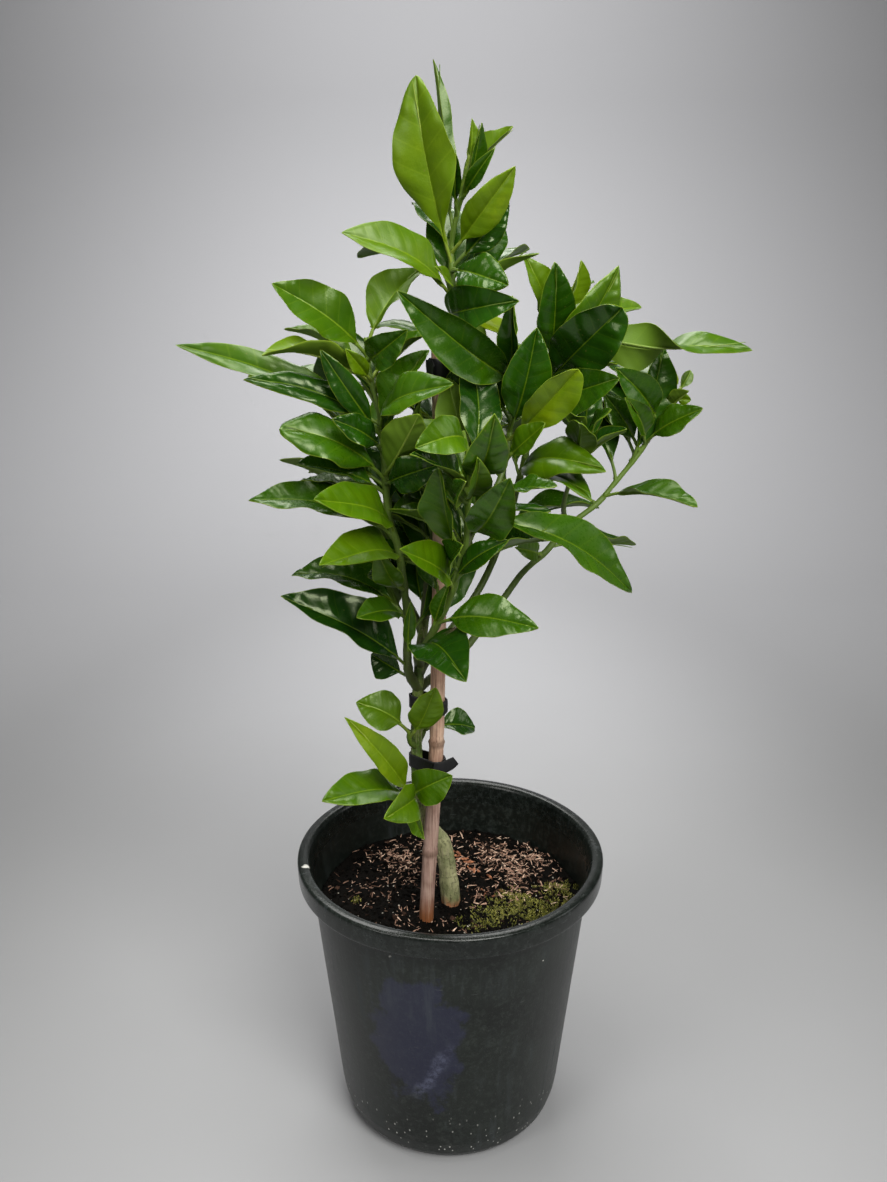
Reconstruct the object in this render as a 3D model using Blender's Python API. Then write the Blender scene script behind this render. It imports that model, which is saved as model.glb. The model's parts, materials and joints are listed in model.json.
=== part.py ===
"""A young orange tree, grafted, staked and tied, in a black nursery pot of 200 mm.

Millimetres in every table and function, metres in the meshes. The origin is the middle of the pot's
base, +Z is up and -Y is the side that faces a viewer.
"""

import math
from collections import namedtuple

import bpy
import numpy as np
from mathutils import Matrix, Vector
from mathutils.bvhtree import BVHTree

MM = 0.001
GAP = 0.3                    # between two pieces that touch on the real tree

# Pot
POT_HEIGHT = 191.5
RIM_RADIUS = 100.0
RIM_BAND = 14.7              # height of the rolled rim
LIP_WIDTH = 8.0
WALL_TOP_RADIUS = 91.0       # outside, just under the rim band
WALL_FOOT_RADIUS = 75.2      # outside, at the top of the rounded foot
FOOT_HEIGHT = 25.0
FOOT_RADIUS = 62.0
WALL = 2.0
FLOOR = 3.0
POT_SIDES = 48
DRAIN_HOLES = 6
DRAIN_RADIUS = 5.0
DRAIN_CIRCLE = 44.0

# Soil
SOIL_TOP = 158.0
SOIL_RELIEF = 2.2
SOIL_RINGS = 7
ROOT_DEPTH = 62.0            # how far the stub and the stake reach into the soil

# Stake
STAKE_RADIUS = (4.7, 4.1)    # at the soil and at the top
STAKE_ROUTE = ((-16, -27, SOIL_TOP - ROOT_DEPTH), (-15.4, -27, 158), (-9.2, -27, 268),
               (-7.6, -26, 330), (-6.2, -22, 440), (-7.2, -18, 522))
STAKE_NODES = (206, 282, 366, 450)
STAKE_NODE_SWELL = 0.7
STAKE_SIDES = 12

# Trunk: rootstock stub, graft bend, stem. Route with a radius at each point
TRUNK_ROUTE = ((1, -9, SOIL_TOP - ROOT_DEPTH), (0.5, -9, 150), (0, -9, 162), (-2, -8.5, 184),
               (-5, -8, 200), (-11, -9.5, 210), (-17, -14, 222), (-20.5, -19, 245),
               (-21, -20, 280), (-20, -18, 310), (-18.5, -15, 334), (-16, -11, 354))
TRUNK_RADII = (4.5, 5.9, 6.1, 5.6, 5.3, 4.6, 3.9, 3.5, 3.4, 3.3, 3.1, 2.9)
TRUNK_SIDES = 10

# Ties: name, height of the middle, height of the strip
TIES = (("tie_low", 267.0, 9.0), ("tie_mid", 306.0, 9.0), ("tie_top", 506.0, 14.0))
TIE_THICKNESS = 1.2
TIE_SLACK = 0.35
TIE_POINTS = 8

# Leaves
BLADE = 0.9                  # thickness
PETIOLE_LENGTH = 10.0
PETIOLE_SHARE = 0.25         # of a short leaf's length
PETIOLE_WIDTH = 2.6
PETIOLE_DEPTH = 1.9
ROWS = (0.16, 0.40, 0.64, 0.86, 1.0)     # along a blade, after the leaf stalk
SHORT_ROWS = (0.22, 0.52, 0.80, 1.0)     # the same on a short leaf
SHORT_LEAF = 56.0
TWIST_ROWS = (0.16, 0.34, 0.46, 0.57, 0.68, 0.84, 1.0)     # the same on a leaf that turns over
TURNED_OVER = 60.0           # degrees of twist
TWIST_START = 0.38           # along the leaf, where its twist begins
TWIST_END = 0.78
COLUMNS = (-1.0, 0.0, 1.0)
WAVE_HEIGHT = 0.05           # of the leaf's width
WAVES = 2.5
CLEARANCE = 1.0              # kept on both sides of a blade
STEM_SIDES = 6
STEM_STEP = 27.0

# Leaves that follow a rule, deep in the crown and on its far side
GOLDEN_ANGLE = 137.5
GROWTH_SEED = 7
GROWTH_STRAY = 15.0          # degrees either way
GROWTH_RISE = (8.0, 48.0)    # degrees above level
GROWTH_LENGTH = (54.0, 80.0)
GROWTH_WIDTH = (0.38, 0.46)  # of the leaf's length
GROWTH_ARCH = (0.10, 0.18)
GROWTH_FOLD = 14

# One leaf: the height where it leaves its stem, its tip, its width, where its upper face looks
# (degrees round from the front, degrees up), its arch as a share of its length, the degrees by
# which each half is folded up, and the degrees by which it turns over on its way to the tip.
Leaf = namedtuple("Leaf", "root tip width facing arch fold twist")

# Leaves by rule: how many, between which heights, and where they point (degrees round from the
# front, and how wide a fan).
Growth = namedtuple("Growth", "count low high azimuth spread")

# One leafy stem: its parent, its route, its radius at both ends, its leaves, its growth by rule.
Stem = namedtuple("Stem", "parent route radii leaves growth")

STEMS = {
    "crown": Stem(None, (
        (-15.7, -10.6, 355), (-12, -9, 390), (-7, -9, 428), (-4, -9, 468), (-1, -8, 509),
        (1, -3, 542), (0, 0, 570), (3, 0, 588), (6, 2, 601), (9, 3, 616)), (2.7, 1.1), (
        Leaf(562, (-21, -14, 657), 38, (-25, 10), 0.05, 14, 0),
        Leaf(578, (-6, 8, 667), 15, (50, 5), -0.03, 40, 0),
        Leaf(568, (33, -24, 612), 22, (25, 25), 0.08, 18, 0),
        Leaf(542, (-58, -30, 579), 31, (-15, 50), 0.14, 22, 0),
        Leaf(558, (30, -40, 553), 25, (15, 8), 0.14, 12, 0),
        Leaf(560, (31, -4, 595), 20, (40, 35), 0.08, 15, 0),
        Leaf(550, (30, 18, 591), 24, (60, 10), 0.08, 20, 0),
        Leaf(603, (33, -6, 632), 16, (-20, 55), 0.08, 40, 0),
        Leaf(590, (15, -14, 634), 13, (30, 10), 0.04, 30, 0),
        Leaf(612, (11, -4, 637), 8, (40, 35), 0.05, 30, 0),
        Leaf(614, (19, 5, 630), 8, (20, 70), 0.10, 30, 0),
        Leaf(594, (22, -20, 621), 10, (15, 35), 0.10, 30, 0),
        Leaf(587, (2, -16, 619), 9, (-10, 25), 0.06, 30, 0),
        Leaf(608, (24, -10, 626), 8, (30, 30), 0.12, 30, 0),
        Leaf(534, (33, -60, 547), 26, (10, 38), 0.20, 14, 0),
        Leaf(538, (-3, -24, 567), 14, (10, 40), 0.05, 20, 0),
        Leaf(364, (-6, 16, 396), 24, (5, 40), 0.10, 14, 0),
        Leaf(358, (-22, 10, 392), 20, (-10, 35), 0.08, 14, 0),
    ), (Growth(3, 535, 570, 205, 50), Growth(19, 372, 534, 0, 360),
        Growth(6, 362, 418, 180, 70))),
    "stem_left": Stem("trunk", (
        (-19.8, -18, 314), (-25, -21.5, 325), (-26, -22.5, 340), (-25.5, -23, 356),
        (-26.5, -25, 373), (-30, -30, 405), (-35, -32, 424), (-37, -34, 447), (-38, -33, 466),
        (-40, -30, 486), (-45, -26, 505), (-47, -20, 524)), (2.6, 1.2), (
        Leaf(514, (-94, -44, 554), 29, (-10, 40), 0.10, 16, 0),
        Leaf(478, (-152, -20, 521), 22, (0, 62), 0.05, 16, -25),
        Leaf(470, (-69, -52, 521), 16, (-25, 45), 0.06, 20, 0),
        Leaf(474, (-111, -52, 507), 20, (10, 50), 0.11, 16, 0),
        Leaf(447, (-90, -60, 484), 33, (-5, 48), 0.12, 12, 0),
        Leaf(413, (-113, -40, 438), 32, (0, 74), 0.12, 14, 0),
        Leaf(328, (-98, -40, 380), 36, (0, 60), 0.10, 14, 0),
        Leaf(321, (-49, -8, 332), 21, (-15, 18), 0.08, 14, 0),
        Leaf(518, (-17, -2, 561), 29, (-40, 35), 0.12, 28, 0),
        Leaf(362, (-96, -8, 385), 31, (0, 74), 0.15, 16, 0),
        Leaf(499, (-99, -54, 522), 27, (0, 70), 0.10, 18, 0),
        Leaf(506, (-93, -8, 529), 20, (0, 86), 0.08, 35, 0),
        Leaf(475, (1, -74, 506), 27, (5, 45), 0.18, 16, 0),
        Leaf(450, (-17, -80, 492), 28, (165, 35), -0.06, 16, 0),
        Leaf(416, (-72, -86, 448), 30, (5, 45), 0.14, 14, 0),
        Leaf(398, (-70, -86, 412), 28, (5, 45), 0.16, 14, 0),
        Leaf(392, (-48, -38, 392), 12, (-30, 20), 0.12, 14, 0),
        Leaf(338, (-23, -42, 378), 9, (15, 12), 0.03, 20, 0),
        Leaf(443, (-76, -30, 462), 20, (-30, 55), 0.10, 16, 0),
        Leaf(438, (-84, -50, 460), 23, (0, 70), 0.12, 16, 0),
        Leaf(430, (-90, -20, 442), 22, (0, 86), 0.10, 18, 0),
        Leaf(380, (-36, -52, 410), 18, (-15, 15), 0.12, 12, 0),
        Leaf(359, (-53, -58, 374), 20, (0, 55), 0.14, 14, 0),
        Leaf(496, (-13, -34, 529), 19, (10, 70), 0.10, 30, 0),
        Leaf(466, (-14, -52, 521), 26, (-30, 35), 0.08, 16, 0),
        Leaf(512, (-23, -58, 532), 20, (20, 20), 0.15, 14, 0),
        Leaf(462, (-62, -64, 487), 19, (0, 50), 0.10, 20, 0),
        Leaf(445, (-5, -72, 465), 22, (10, 45), 0.12, 18, 0),
        Leaf(501, (-56, -42, 521), 11, (0, 45), 0.10, 25, 0),
        Leaf(502, (-34, -46, 515), 10, (30, 50), 0.10, 25, 0),
    ), (Growth(7, 385, 490, 165, 170), Growth(5, 345, 400, 180, 90))),
    "stem_left_back": Stem("trunk", (
        (-16.8, -12.2, 347), (-22, -6, 357), (-31, 2, 374), (-41, 12, 400), (-51, 20, 428),
        (-58, 26, 456), (-62, 30, 482)), (2.3, 1.2), (
        Leaf(470, (-74, 8, 515), 22, (-45, 10), 0.06, 16, 0),
    ), (Growth(9, 385, 482, 220, 170),)),
    "stem_centre": Stem("trunk", (
        (-18.9, -15.7, 329), (-19.5, -27, 339), (-13, -38, 353), (-1, -47, 381), (3, -51, 396),
        (8, -55, 416), (9, -57, 442), (10, -59, 459), (6, -61, 480)), (2.5, 1.2), (
        Leaf(388, (-28, -90, 423), 25, (-5, 40), 0.10, 12, 0),
        Leaf(358, (-2, -36, 392), 10, (-20, 15), 0.05, 20, 0),
        Leaf(364, (48, -68, 371), 28, (10, 42), 0.18, 10, 0),
        Leaf(343, (7, -92, 352), 34, (12, 35), 0.16, 8, 0),
        Leaf(472, (-18, -98, 479), 23, (0, 30), 0.20, 14, 0),
        Leaf(456, (21, -92, 496), 25, (10, 30), 0.14, 8, 0),
        Leaf(455, (10, -54, 515), 27, (25, 10), 0.10, 10, 0),
        Leaf(407, (-6, -78, 465), 26, (-45, 15), 0.06, 22, 0),
        Leaf(443, (-19, -88, 477), 23, (-10, 50), 0.06, 16, 0),
        Leaf(391, (30, -74, 424), 15, (30, 45), 0.12, 14, 0),
        Leaf(400, (-6, -86, 436), 20, (-20, 30), 0.10, 14, 0),
        Leaf(442, (14, -84, 472), 17, (10, 20), 0.06, 26, 0),
        Leaf(440, (2, -84, 469), 16, (-20, 20), 0.08, 20, 0),
        Leaf(405, (0, -38, 449), 20, (50, 10), 0.06, 16, 0),
        Leaf(376, (-14, -30, 413), 18, (-60, 20), 0.08, 14, 0),
    ), (Growth(5, 385, 470, 190, 150),)),
    "stem_centre_right": Stem("stem_centre", (
        (7.4, -54, 413), (14, -46, 427), (23, -37, 439), (30, -29, 455), (33, -22, 473),
        (35, -16, 495), (38, -12, 519)), (1.9, 1.1), (
        Leaf(428, (107, -20, 376), 33, (10, 62), 0.13, 16, 12),
        Leaf(500, (-28, -62, 552), 27, (-20, 42), 0.14, 12, 0),
        Leaf(468, (66, -58, 512), 24, (18, 15), 0.06, 10, 0),
        Leaf(472, (35, -44, 532), 30, (5, 20), 0.08, 24, 0),
        Leaf(421, (30, -84, 462), 26, (10, 30), 0.14, 8, 0),
        Leaf(430, (13, -76, 463), 20, (-20, 55), 0.20, 10, 0),
        Leaf(478, (19, -50, 511), 20, (-30, 25), 0.08, 24, 0),
        Leaf(510, (5, -64, 538), 14, (-10, 45), 0.24, 12, 0),
        Leaf(498, (30, -42, 548), 14, (-20, 20), 0.06, 20, 0),
        Leaf(505, (34, -4, 543), 16, (-55, 20), 0.06, 16, 0),
        Leaf(437, (57, -58, 449), 18, (10, 70), 0.08, 22, 0),
        Leaf(456, (51, -44, 482), 16, (20, 55), 0.08, 16, 0),
    ), ()),
    "stem_right_back": Stem("trunk", (
        (-19.2, -16.4, 323), (-12, -7.5, 332), (0, 4, 343), (19, 21, 366), (34, 29, 400),
        (44, 32, 438), (51, 31, 470), (58, 28, 497), (61, 26, 521), (62, 24, 541)), (2.6, 1.2), (
        Leaf(530, (173, 10, 519), 31, (180, 2), -0.09, 12, 128),
        Leaf(490, (92, -26, 540), 35, (15, 25), 0.08, 14, 0),
        Leaf(500, (95, 2, 560), 31, (40, 35), 0.10, 14, 0),
        Leaf(502, (58, -14, 562), 25, (10, 15), 0.05, 16, 0),
        Leaf(433, (86, -32, 454), 32, (10, 35), 0.18, 12, 0),
        Leaf(518, (42, 10, 567), 22, (-10, 55), 0.06, 14, 0),
        Leaf(528, (75, 16, 563), 16, (50, 20), 0.06, 24, 0),
        Leaf(518, (115, 40, 534), 22, (20, 66), 0.10, 16, 0),
        Leaf(480, (93, -20, 502), 28, (20, 30), 0.12, 12, 0),
    ), (Growth(10, 390, 512, 170, 150), Growth(5, 400, 490, 0, 200))),
    "branch_right": Stem("trunk", (
        (-19.8, -17.6, 313), (-12, -12.5, 318), (-3, -6, 323), (9, 3, 331), (31, 13, 358),
        (45, 19, 376), (60, 23, 389), (71, 27, 402), (91, 31, 417), (100, 34, 427),
        (117, 38, 448), (129, 40, 468), (139, 42, 484)), (2.5, 1.1), (
        Leaf(421, (146, -2, 423), 25, (0, 86), 0.10, 18, 0),
        Leaf(391, (120, 54, 382), 24, (10, 88), 0.06, 18, 0),
        Leaf(453, (149, 14, 479), 21, (20, 42), 0.10, 16, 0),
        Leaf(441, (129, 16, 504), 28, (35, 15), 0.05, 16, 0),
        Leaf(466, (97, 22, 503), 23, (-20, 30), 0.08, 16, 0),
        Leaf(448, (93, 20, 485), 20, (-10, 48), 0.08, 16, 0),
        Leaf(470, (118, 74, 490), 26, (160, -20), 0.08, 10, 0),
        Leaf(453, (103, 8, 486), 16, (-15, 52), 0.06, 20, 0),
        Leaf(470, (141, 22, 488), 12, (35, 60), 0.06, 25, 0),
        Leaf(482, (133, 42, 499), 8, (25, 50), 0.05, 20, 0),
        Leaf(483, (148, 50, 497), 8, (25, 40), 0.05, 20, 0),
        Leaf(480, (146, 30, 481), 8, (20, 30), 0.08, 20, 0),
        Leaf(386, (39, -4, 399), 15, (-15, 25), 0.08, 14, 0),
    ), (Growth(6, 395, 480, 165, 140),)),
    "stem_right_up": Stem("branch_right", (
        (72, 27.2, 403), (69, 17, 420), (72, 8, 439), (78, 2, 457), (82, -2, 469)), (1.6, 1.0), (
        Leaf(450, (79, 0, 503), 22, (35, 20), 0.08, 16, 0),
        Leaf(438, (67, -32, 481), 22, (15, 30), 0.08, 20, 0),
        Leaf(447, (101, -10, 471), 16, (25, 60), 0.08, 18, 0),
        Leaf(456, (61, -34, 479), 18, (-40, 50), 0.08, 14, 0),
        Leaf(460, (88, -26, 486), 16, (0, 35), 0.08, 16, 0),
    ), ()),
    "shoot_mid": Stem("trunk", (
        (-21, -20, 275), (-25, -27, 282), (-25, -30, 291)), (1.5, 1.0), (
        Leaf(289, (-56, -38, 314), 27, (-5, 50), 0.14, 12, 0),
        Leaf(286, (-9, -48, 328), 22, (20, 20), 0.08, 14, 0),
    ), ()),
    "shoot_back": Stem("trunk", (
        (-21, -19.5, 275), (-17, -11, 280), (-14, -7, 287)), (1.5, 1.0), (
        Leaf(282, (17, 4, 277), 20, (20, 60), 0.12, 16, 0),
    ), ()),
    "shoot_low": Stem("trunk", (
        (-19.3, -17.2, 233), (-24, -26, 240), (-26, -32, 250)), (1.5, 1.0), (
        Leaf(242, (-75, -72, 265), 29, (0, 70), 0.14, 14, 0),
        Leaf(248, (-59, -52, 314), 19, (-10, 52), 0.08, 16, 0),
        Leaf(244, (-37, -84, 262), 23, (0, 50), 0.14, 14, 0),
        Leaf(246, (1, -80, 271), 25, (10, 30), 0.14, 10, 0),
        Leaf(239, (-16, -52, 229), 12, (-10, 0), 0.10, 10, 0),
    ), ()),
}


def clear_scene():
    for obj in list(bpy.data.objects):
        bpy.data.objects.remove(obj, do_unlink=True)


def material(name, colour, roughness):
    """A plain finish: sRGB colour from 0 to 1, roughness."""
    mat = bpy.data.materials.new(name)
    mat.use_nodes = True
    shader = mat.node_tree.nodes["Principled BSDF"]
    linear = [c / 12.92 if c <= 0.04045 else ((c + 0.055) / 1.055) ** 2.4 for c in colour]
    shader.inputs["Base Color"].default_value = (*linear, 1.0)
    shader.inputs["Roughness"].default_value = roughness
    shader.inputs["Metallic"].default_value = 0.0
    mat.diffuse_color = (*linear, 1.0)
    return mat


def make_object(name, solid, mat, sharp_angle=40.0):
    """An object from (points in millimetres, faces)."""
    points, faces = solid
    mesh = bpy.data.meshes.new(name)
    mesh.from_pydata([Vector(p) * MM for p in points], [], faces)
    mesh.update()
    mesh.materials.append(mat)
    mesh.shade_smooth()
    mesh.set_sharp_from_angle(angle=math.radians(sharp_angle))
    obj = bpy.data.objects.new(name, mesh)
    bpy.context.scene.collection.objects.link(obj)
    return obj


def apply_boolean(obj, operation, others):
    """Joins to obj, or cuts out of it, every one of others, which are then removed."""
    group = bpy.data.collections.new("operands")
    bpy.context.scene.collection.children.link(group)
    for other in others:
        bpy.context.scene.collection.objects.unlink(other)
        group.objects.link(other)
    boolean = obj.modifiers.new(operation.lower(), "BOOLEAN")
    boolean.operation = operation
    boolean.operand_type = "COLLECTION"
    boolean.collection = group
    boolean.solver = "EXACT"
    bpy.context.view_layer.objects.active = obj
    bpy.ops.object.modifier_apply(modifier=boolean.name)
    for other in others:
        bpy.data.objects.remove(other, do_unlink=True)
    bpy.data.collections.remove(group)


def lathe(profile, sides):
    """A solid turned round +Z. The profile runs from the axis, up its outside, back to the axis."""
    points = []
    rings = []
    for radius, height in profile:
        if radius == 0.0:
            rings.append([len(points)])
            points.append((0.0, 0.0, height))
            continue
        rings.append(list(range(len(points), len(points) + sides)))
        for i in range(sides):
            turn = 2.0 * math.pi * i / sides
            points.append((radius * math.cos(turn), radius * math.sin(turn), height))
    faces = []
    for low, high in zip(rings, rings[1:]):
        for i in range(sides):
            j = (i + 1) % sides
            if len(low) == 1:
                faces.append((low[0], high[j], high[i]))
            elif len(high) == 1:
                faces.append((low[i], low[j], high[0]))
            else:
                faces.append((low[i], low[j], high[j], high[i]))
    return points, faces


def smooth_route(points, step):
    """Points about step apart on a smooth curve through the given ones."""
    given = [Vector(p) for p in points]
    padded = [2 * given[0] - given[1], *given, 2 * given[-1] - given[-2]]
    route = [given[0]]
    for before, start, end, after in zip(padded, padded[1:], padded[2:], padded[3:]):
        pieces = max(1, round((end - start).length / step))
        for i in range(1, pieces + 1):
            t = i / pieces
            route.append(0.5 * (2 * start + (end - before) * t
                                + (2 * before - 5 * start + 4 * end - after) * t ** 2
                                + (3 * start - before - 3 * end + after) * t ** 3))
    return route


def tube(route, radii, sides):
    """A closed tube along a route, with a radius at each of its points."""
    points = []
    side = None
    for i, place in enumerate(route):
        ahead = (route[min(i + 1, len(route) - 1)] - route[max(i - 1, 0)]).normalized()
        if side is None:
            side = ahead.cross(Vector((0.2, 1.0, 0.1))).normalized()
        side = (side - side.dot(ahead) * ahead).normalized()
        over = ahead.cross(side)
        for k in range(sides):
            turn = 2.0 * math.pi * k / sides
            points.append(place + radii[i] * (math.cos(turn) * side + math.sin(turn) * over))
    faces = []
    for i in range(len(route) - 1):
        for k in range(sides):
            j = (k + 1) % sides
            a, b = i * sides, (i + 1) * sides
            faces.append((a + k, a + j, b + j, b + k))
    faces.append(tuple(range(sides))[::-1])
    faces.append(tuple(range((len(route) - 1) * sides, len(route) * sides)))
    return points, faces


def taper(count, radii):
    return [radii[0] + (radii[1] - radii[0]) * i / (count - 1) for i in range(count)]


def at_height(route, height):
    """Where a route first passes a height."""
    for low, high in zip(route, route[1:]):
        if (low.z - height) * (high.z - height) <= 0.0 and low.z != high.z:
            return low.lerp(high, (height - low.z) / (high.z - low.z))
    return route[-1].copy() if height > route[-1].z else route[0].copy()


def facing_vector(facing):
    """The direction of (degrees round from the front, degrees up)."""
    round_, up = (math.radians(angle) for angle in facing)
    return Vector((math.sin(round_) * math.cos(up), -math.cos(round_) * math.cos(up), math.sin(up)))


def outline(along):
    """Half width of an orange leaf's blade as a share of its widest, from stalk (0) to tip (1)."""
    body = math.sin(math.pi * along ** 0.86)
    return max(body, 0.0) ** 0.78 * (1.0 - 0.30 * along ** 3)


def leaf_rows(leaf, root, rows, swell, with_stalk):
    """Per row across the leaf: its place, middle, half width, thickness, side, normal, and whether
    it crosses the blade or only the stalk."""
    chord = Vector(leaf.tip) - root
    length = chord.length
    ahead = chord / length
    look = facing_vector(leaf.facing)
    up = (look - look.dot(ahead) * ahead).normalized()
    rise = Matrix.Rotation(math.radians(leaf.twist / 2), 3, ahead) @ up
    stalk = min(PETIOLE_LENGTH, PETIOLE_SHARE * length) / length
    if rows is None:
        rows = ROWS if length > SHORT_LEAF else SHORT_ROWS
        rows = TWIST_ROWS if abs(leaf.twist) > TURNED_OVER else rows
    stations = [(stalk + (1.0 - stalk) * row, row) for row in rows]
    if with_stalk:
        stations = [(0.0, None), (stalk, None)] + stations
    result = []
    for share, row in stations:
        turned = min(max((share - TWIST_START) / (TWIST_END - TWIST_START), 0.0), 1.0)
        twist = math.radians(leaf.twist) * turned * turned * (3.0 - 2.0 * turned)
        normal = Matrix.Rotation(twist, 3, ahead) @ up
        side = ahead.cross(normal)
        bend = leaf.arch * length * math.sin(math.pi * share ** 0.9)
        slope = leaf.arch * math.pi * math.cos(math.pi * share ** 0.9)
        middle = root + ahead * (share * length) + rise * bend
        half = PETIOLE_WIDTH / 2 if row is None else leaf.width / 2 * outline(row)
        depth = PETIOLE_DEPTH if row is None else BLADE
        tilted = (normal - slope * ahead).normalized()
        result.append((share, middle, half + swell, depth + 2 * swell, side, tilted, row is not None))
    return result


def strip(low, high):
    """Triangles between two rows of points, low and high, of which one may hold fewer points."""
    faces = []
    i = j = 0
    while i < len(low) - 1 or j < len(high) - 1:
        climb = (j + 1) * (len(low) - 1) < (i + 1) * (len(high) - 1)
        if j < len(high) - 1 and (climb or i == len(low) - 1):
            faces.append((low[i], high[j + 1], high[j]))
            j += 1
        else:
            faces.append((low[i], low[i + 1], high[j]))
            i += 1
    return faces


def leaf_solid(leaf, root, rows=None, columns=COLUMNS, swell=0.0, with_stalk=True):
    """The closed leaf: its upper and its under face, split alike, and its edge. It ends in a point."""
    top = []
    under = []
    lines = []
    fold = math.radians(leaf.fold)
    for share, middle, half, depth, side, normal, blade in leaf_rows(leaf, root, rows, swell, with_stalk):
        spots = (0.0,) if share == 1.0 else columns if blade else (columns[0], columns[-1])
        lines.append(list(range(len(top), len(top) + len(spots))))
        for spot in spots:
            lift = abs(spot) * half * math.sin(fold) if blade else 0.0
            reach = spot * half * (math.cos(fold) if blade else 1.0)
            wave = WAVE_HEIGHT * half * 2 * math.sin(2 * math.pi * WAVES * share + 1.7 * spot)
            rise = lift + (wave * spot ** 2 if blade else 0.0)
            place = middle + side * reach + normal * rise
            top.append(place + normal * (depth / 2))
            under.append(place - normal * (depth / 2))
    low = len(top)
    faces = []
    for here, ahead in zip(lines, lines[1:]):
        for a, b, c in strip(here, ahead):
            faces += [(a, b, c), (a + low, c + low, b + low)]
        for a, b in ((here[0], ahead[0]), (ahead[-1], here[-1])):
            faces += [(a, b, b + low), (a, b + low, a + low)]
    start = lines[0]
    for a, b in zip(start, start[1:]):
        faces += [(a, a + low, b + low), (a, b + low, b)]
    return top + under, faces


def search_tree(solid):
    points, faces = solid
    return BVHTree.FromPolygons([Vector(p) for p in points], faces)


def nudged(leaf, nudge):
    """The leaf with its tip moved, its blade rolled and its width and length scaled."""
    shift, roll, size = nudge
    tip = tuple(place + move for place, move in zip(leaf.tip, shift))
    facing = (leaf.facing[0], leaf.facing[1] + roll)
    return leaf._replace(tip=tip, facing=facing, width=leaf.width * size)


def nudges():
    """Moves to try for a leaf that meets another, the least visible from the front coming first."""
    found = []
    for depth in (0, -5, 5, -10, 10, -16, 16, -23, 23, -31, 31):
        for reach in (0, 5, 10, 16, 24):
            for step in range(8 if reach else 1):
                turn = math.radians(45 * step)
                for roll in (0, -14, 14, -28, 28):
                    for size in (1.0, 0.85):
                        shift = (reach * math.cos(turn), depth, reach * math.sin(turn))
                        cost = abs(depth) + 3.0 * reach + 0.5 * abs(roll) + 110.0 * (1.0 - size)
                        found.append((cost, (shift, roll, size)))
    found.sort(key=lambda pair: pair[0])
    return [nudge for _, nudge in found]


def grown_leaves(route, growth, generator):
    """Leaves by rule, spread round their stem by the golden angle."""
    leaves = []
    for i in range(growth.count):
        height = growth.low + (growth.high - growth.low) * (i + 0.5) / growth.count
        root = at_height(route, height)
        fan = (i * GOLDEN_ANGLE) % growth.spread - growth.spread / 2
        turn = math.radians(growth.azimuth + fan + generator.uniform(-GROWTH_STRAY, GROWTH_STRAY))
        rise = math.radians(generator.uniform(*GROWTH_RISE))
        length = generator.uniform(*GROWTH_LENGTH)
        away = Vector((math.sin(turn), -math.cos(turn), 0.0))
        tip = root + length * (math.cos(rise) * away + math.sin(rise) * Vector((0, 0, 1)))
        facing = (math.degrees(turn), 90 - 0.5 * math.degrees(rise))
        width = length * generator.uniform(*GROWTH_WIDTH)
        arch = generator.uniform(*GROWTH_ARCH)
        leaves.append(Leaf(height, tuple(tip), width, facing, arch, GROWTH_FOLD, 0))
    return leaves


def place_leaves(routes, fixed):
    """Every leaf bent clear of the stems, the fixed pieces and the leaves before it."""
    generator = np.random.default_rng(GROWTH_SEED)
    obstacles = [(None, search_tree(solid)) for solid in fixed]
    for name, route in routes.items():
        obstacles.append((name, search_tree(tube(*route, STEM_SIDES))))
    placed = {name: [] for name in STEMS}
    orders = [(name, leaf) for name, stem in STEMS.items() for leaf in stem.leaves]
    for name, stem in STEMS.items():
        for growth in stem.growth:
            orders += [(name, leaf) for leaf in grown_leaves(routes[name][0], growth, generator)]
    moves = nudges()
    for name, leaf in orders:
        root = at_height(routes[name][0], leaf.root)
        for move in moves:
            bent = nudged(leaf, move)
            blade = search_tree(leaf_solid(bent, root, swell=CLEARANCE, with_stalk=False))
            if any(blade.overlap(tree) for _, tree in obstacles):
                continue
            whole = search_tree(leaf_solid(bent, root))
            if any(whole.overlap(tree) for owner, tree in obstacles if owner != name):
                continue
            obstacles.append((name, whole))
            placed[name].append((bent, root))
            break
    return placed


def pot_profile():
    top = POT_HEIGHT
    under_band = top - RIM_BAND
    inner_lip = RIM_RADIUS - LIP_WIDTH
    inside_top = WALL_TOP_RADIUS - WALL
    inside_foot = WALL_FOOT_RADIUS - WALL
    return (
        (0.0, 0.0), (FOOT_RADIUS, 0.0), (FOOT_RADIUS + 4.5, 1.6), (FOOT_RADIUS + 9.0, 7.5),
        (WALL_FOOT_RADIUS - 1.2, 17.0), (WALL_FOOT_RADIUS, FOOT_HEIGHT),
        (WALL_TOP_RADIUS, under_band), (RIM_RADIUS - 3.5, under_band + 0.4),
        (RIM_RADIUS - 1.0, under_band + 2.2), (RIM_RADIUS, under_band + 6.0),
        (RIM_RADIUS - 0.4, top - 2.6), (RIM_RADIUS - 2.2, top - 0.6), (RIM_RADIUS - 4.2, top),
        (inner_lip + 1.4, top - 0.5), (inner_lip, top - 2.4), (inside_top + 0.6, under_band - 1.0),
        (inside_foot, FOOT_HEIGHT), (FOOT_RADIUS + 6.0, 8.5), (FOOT_RADIUS, FLOOR), (0.0, FLOOR))


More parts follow.
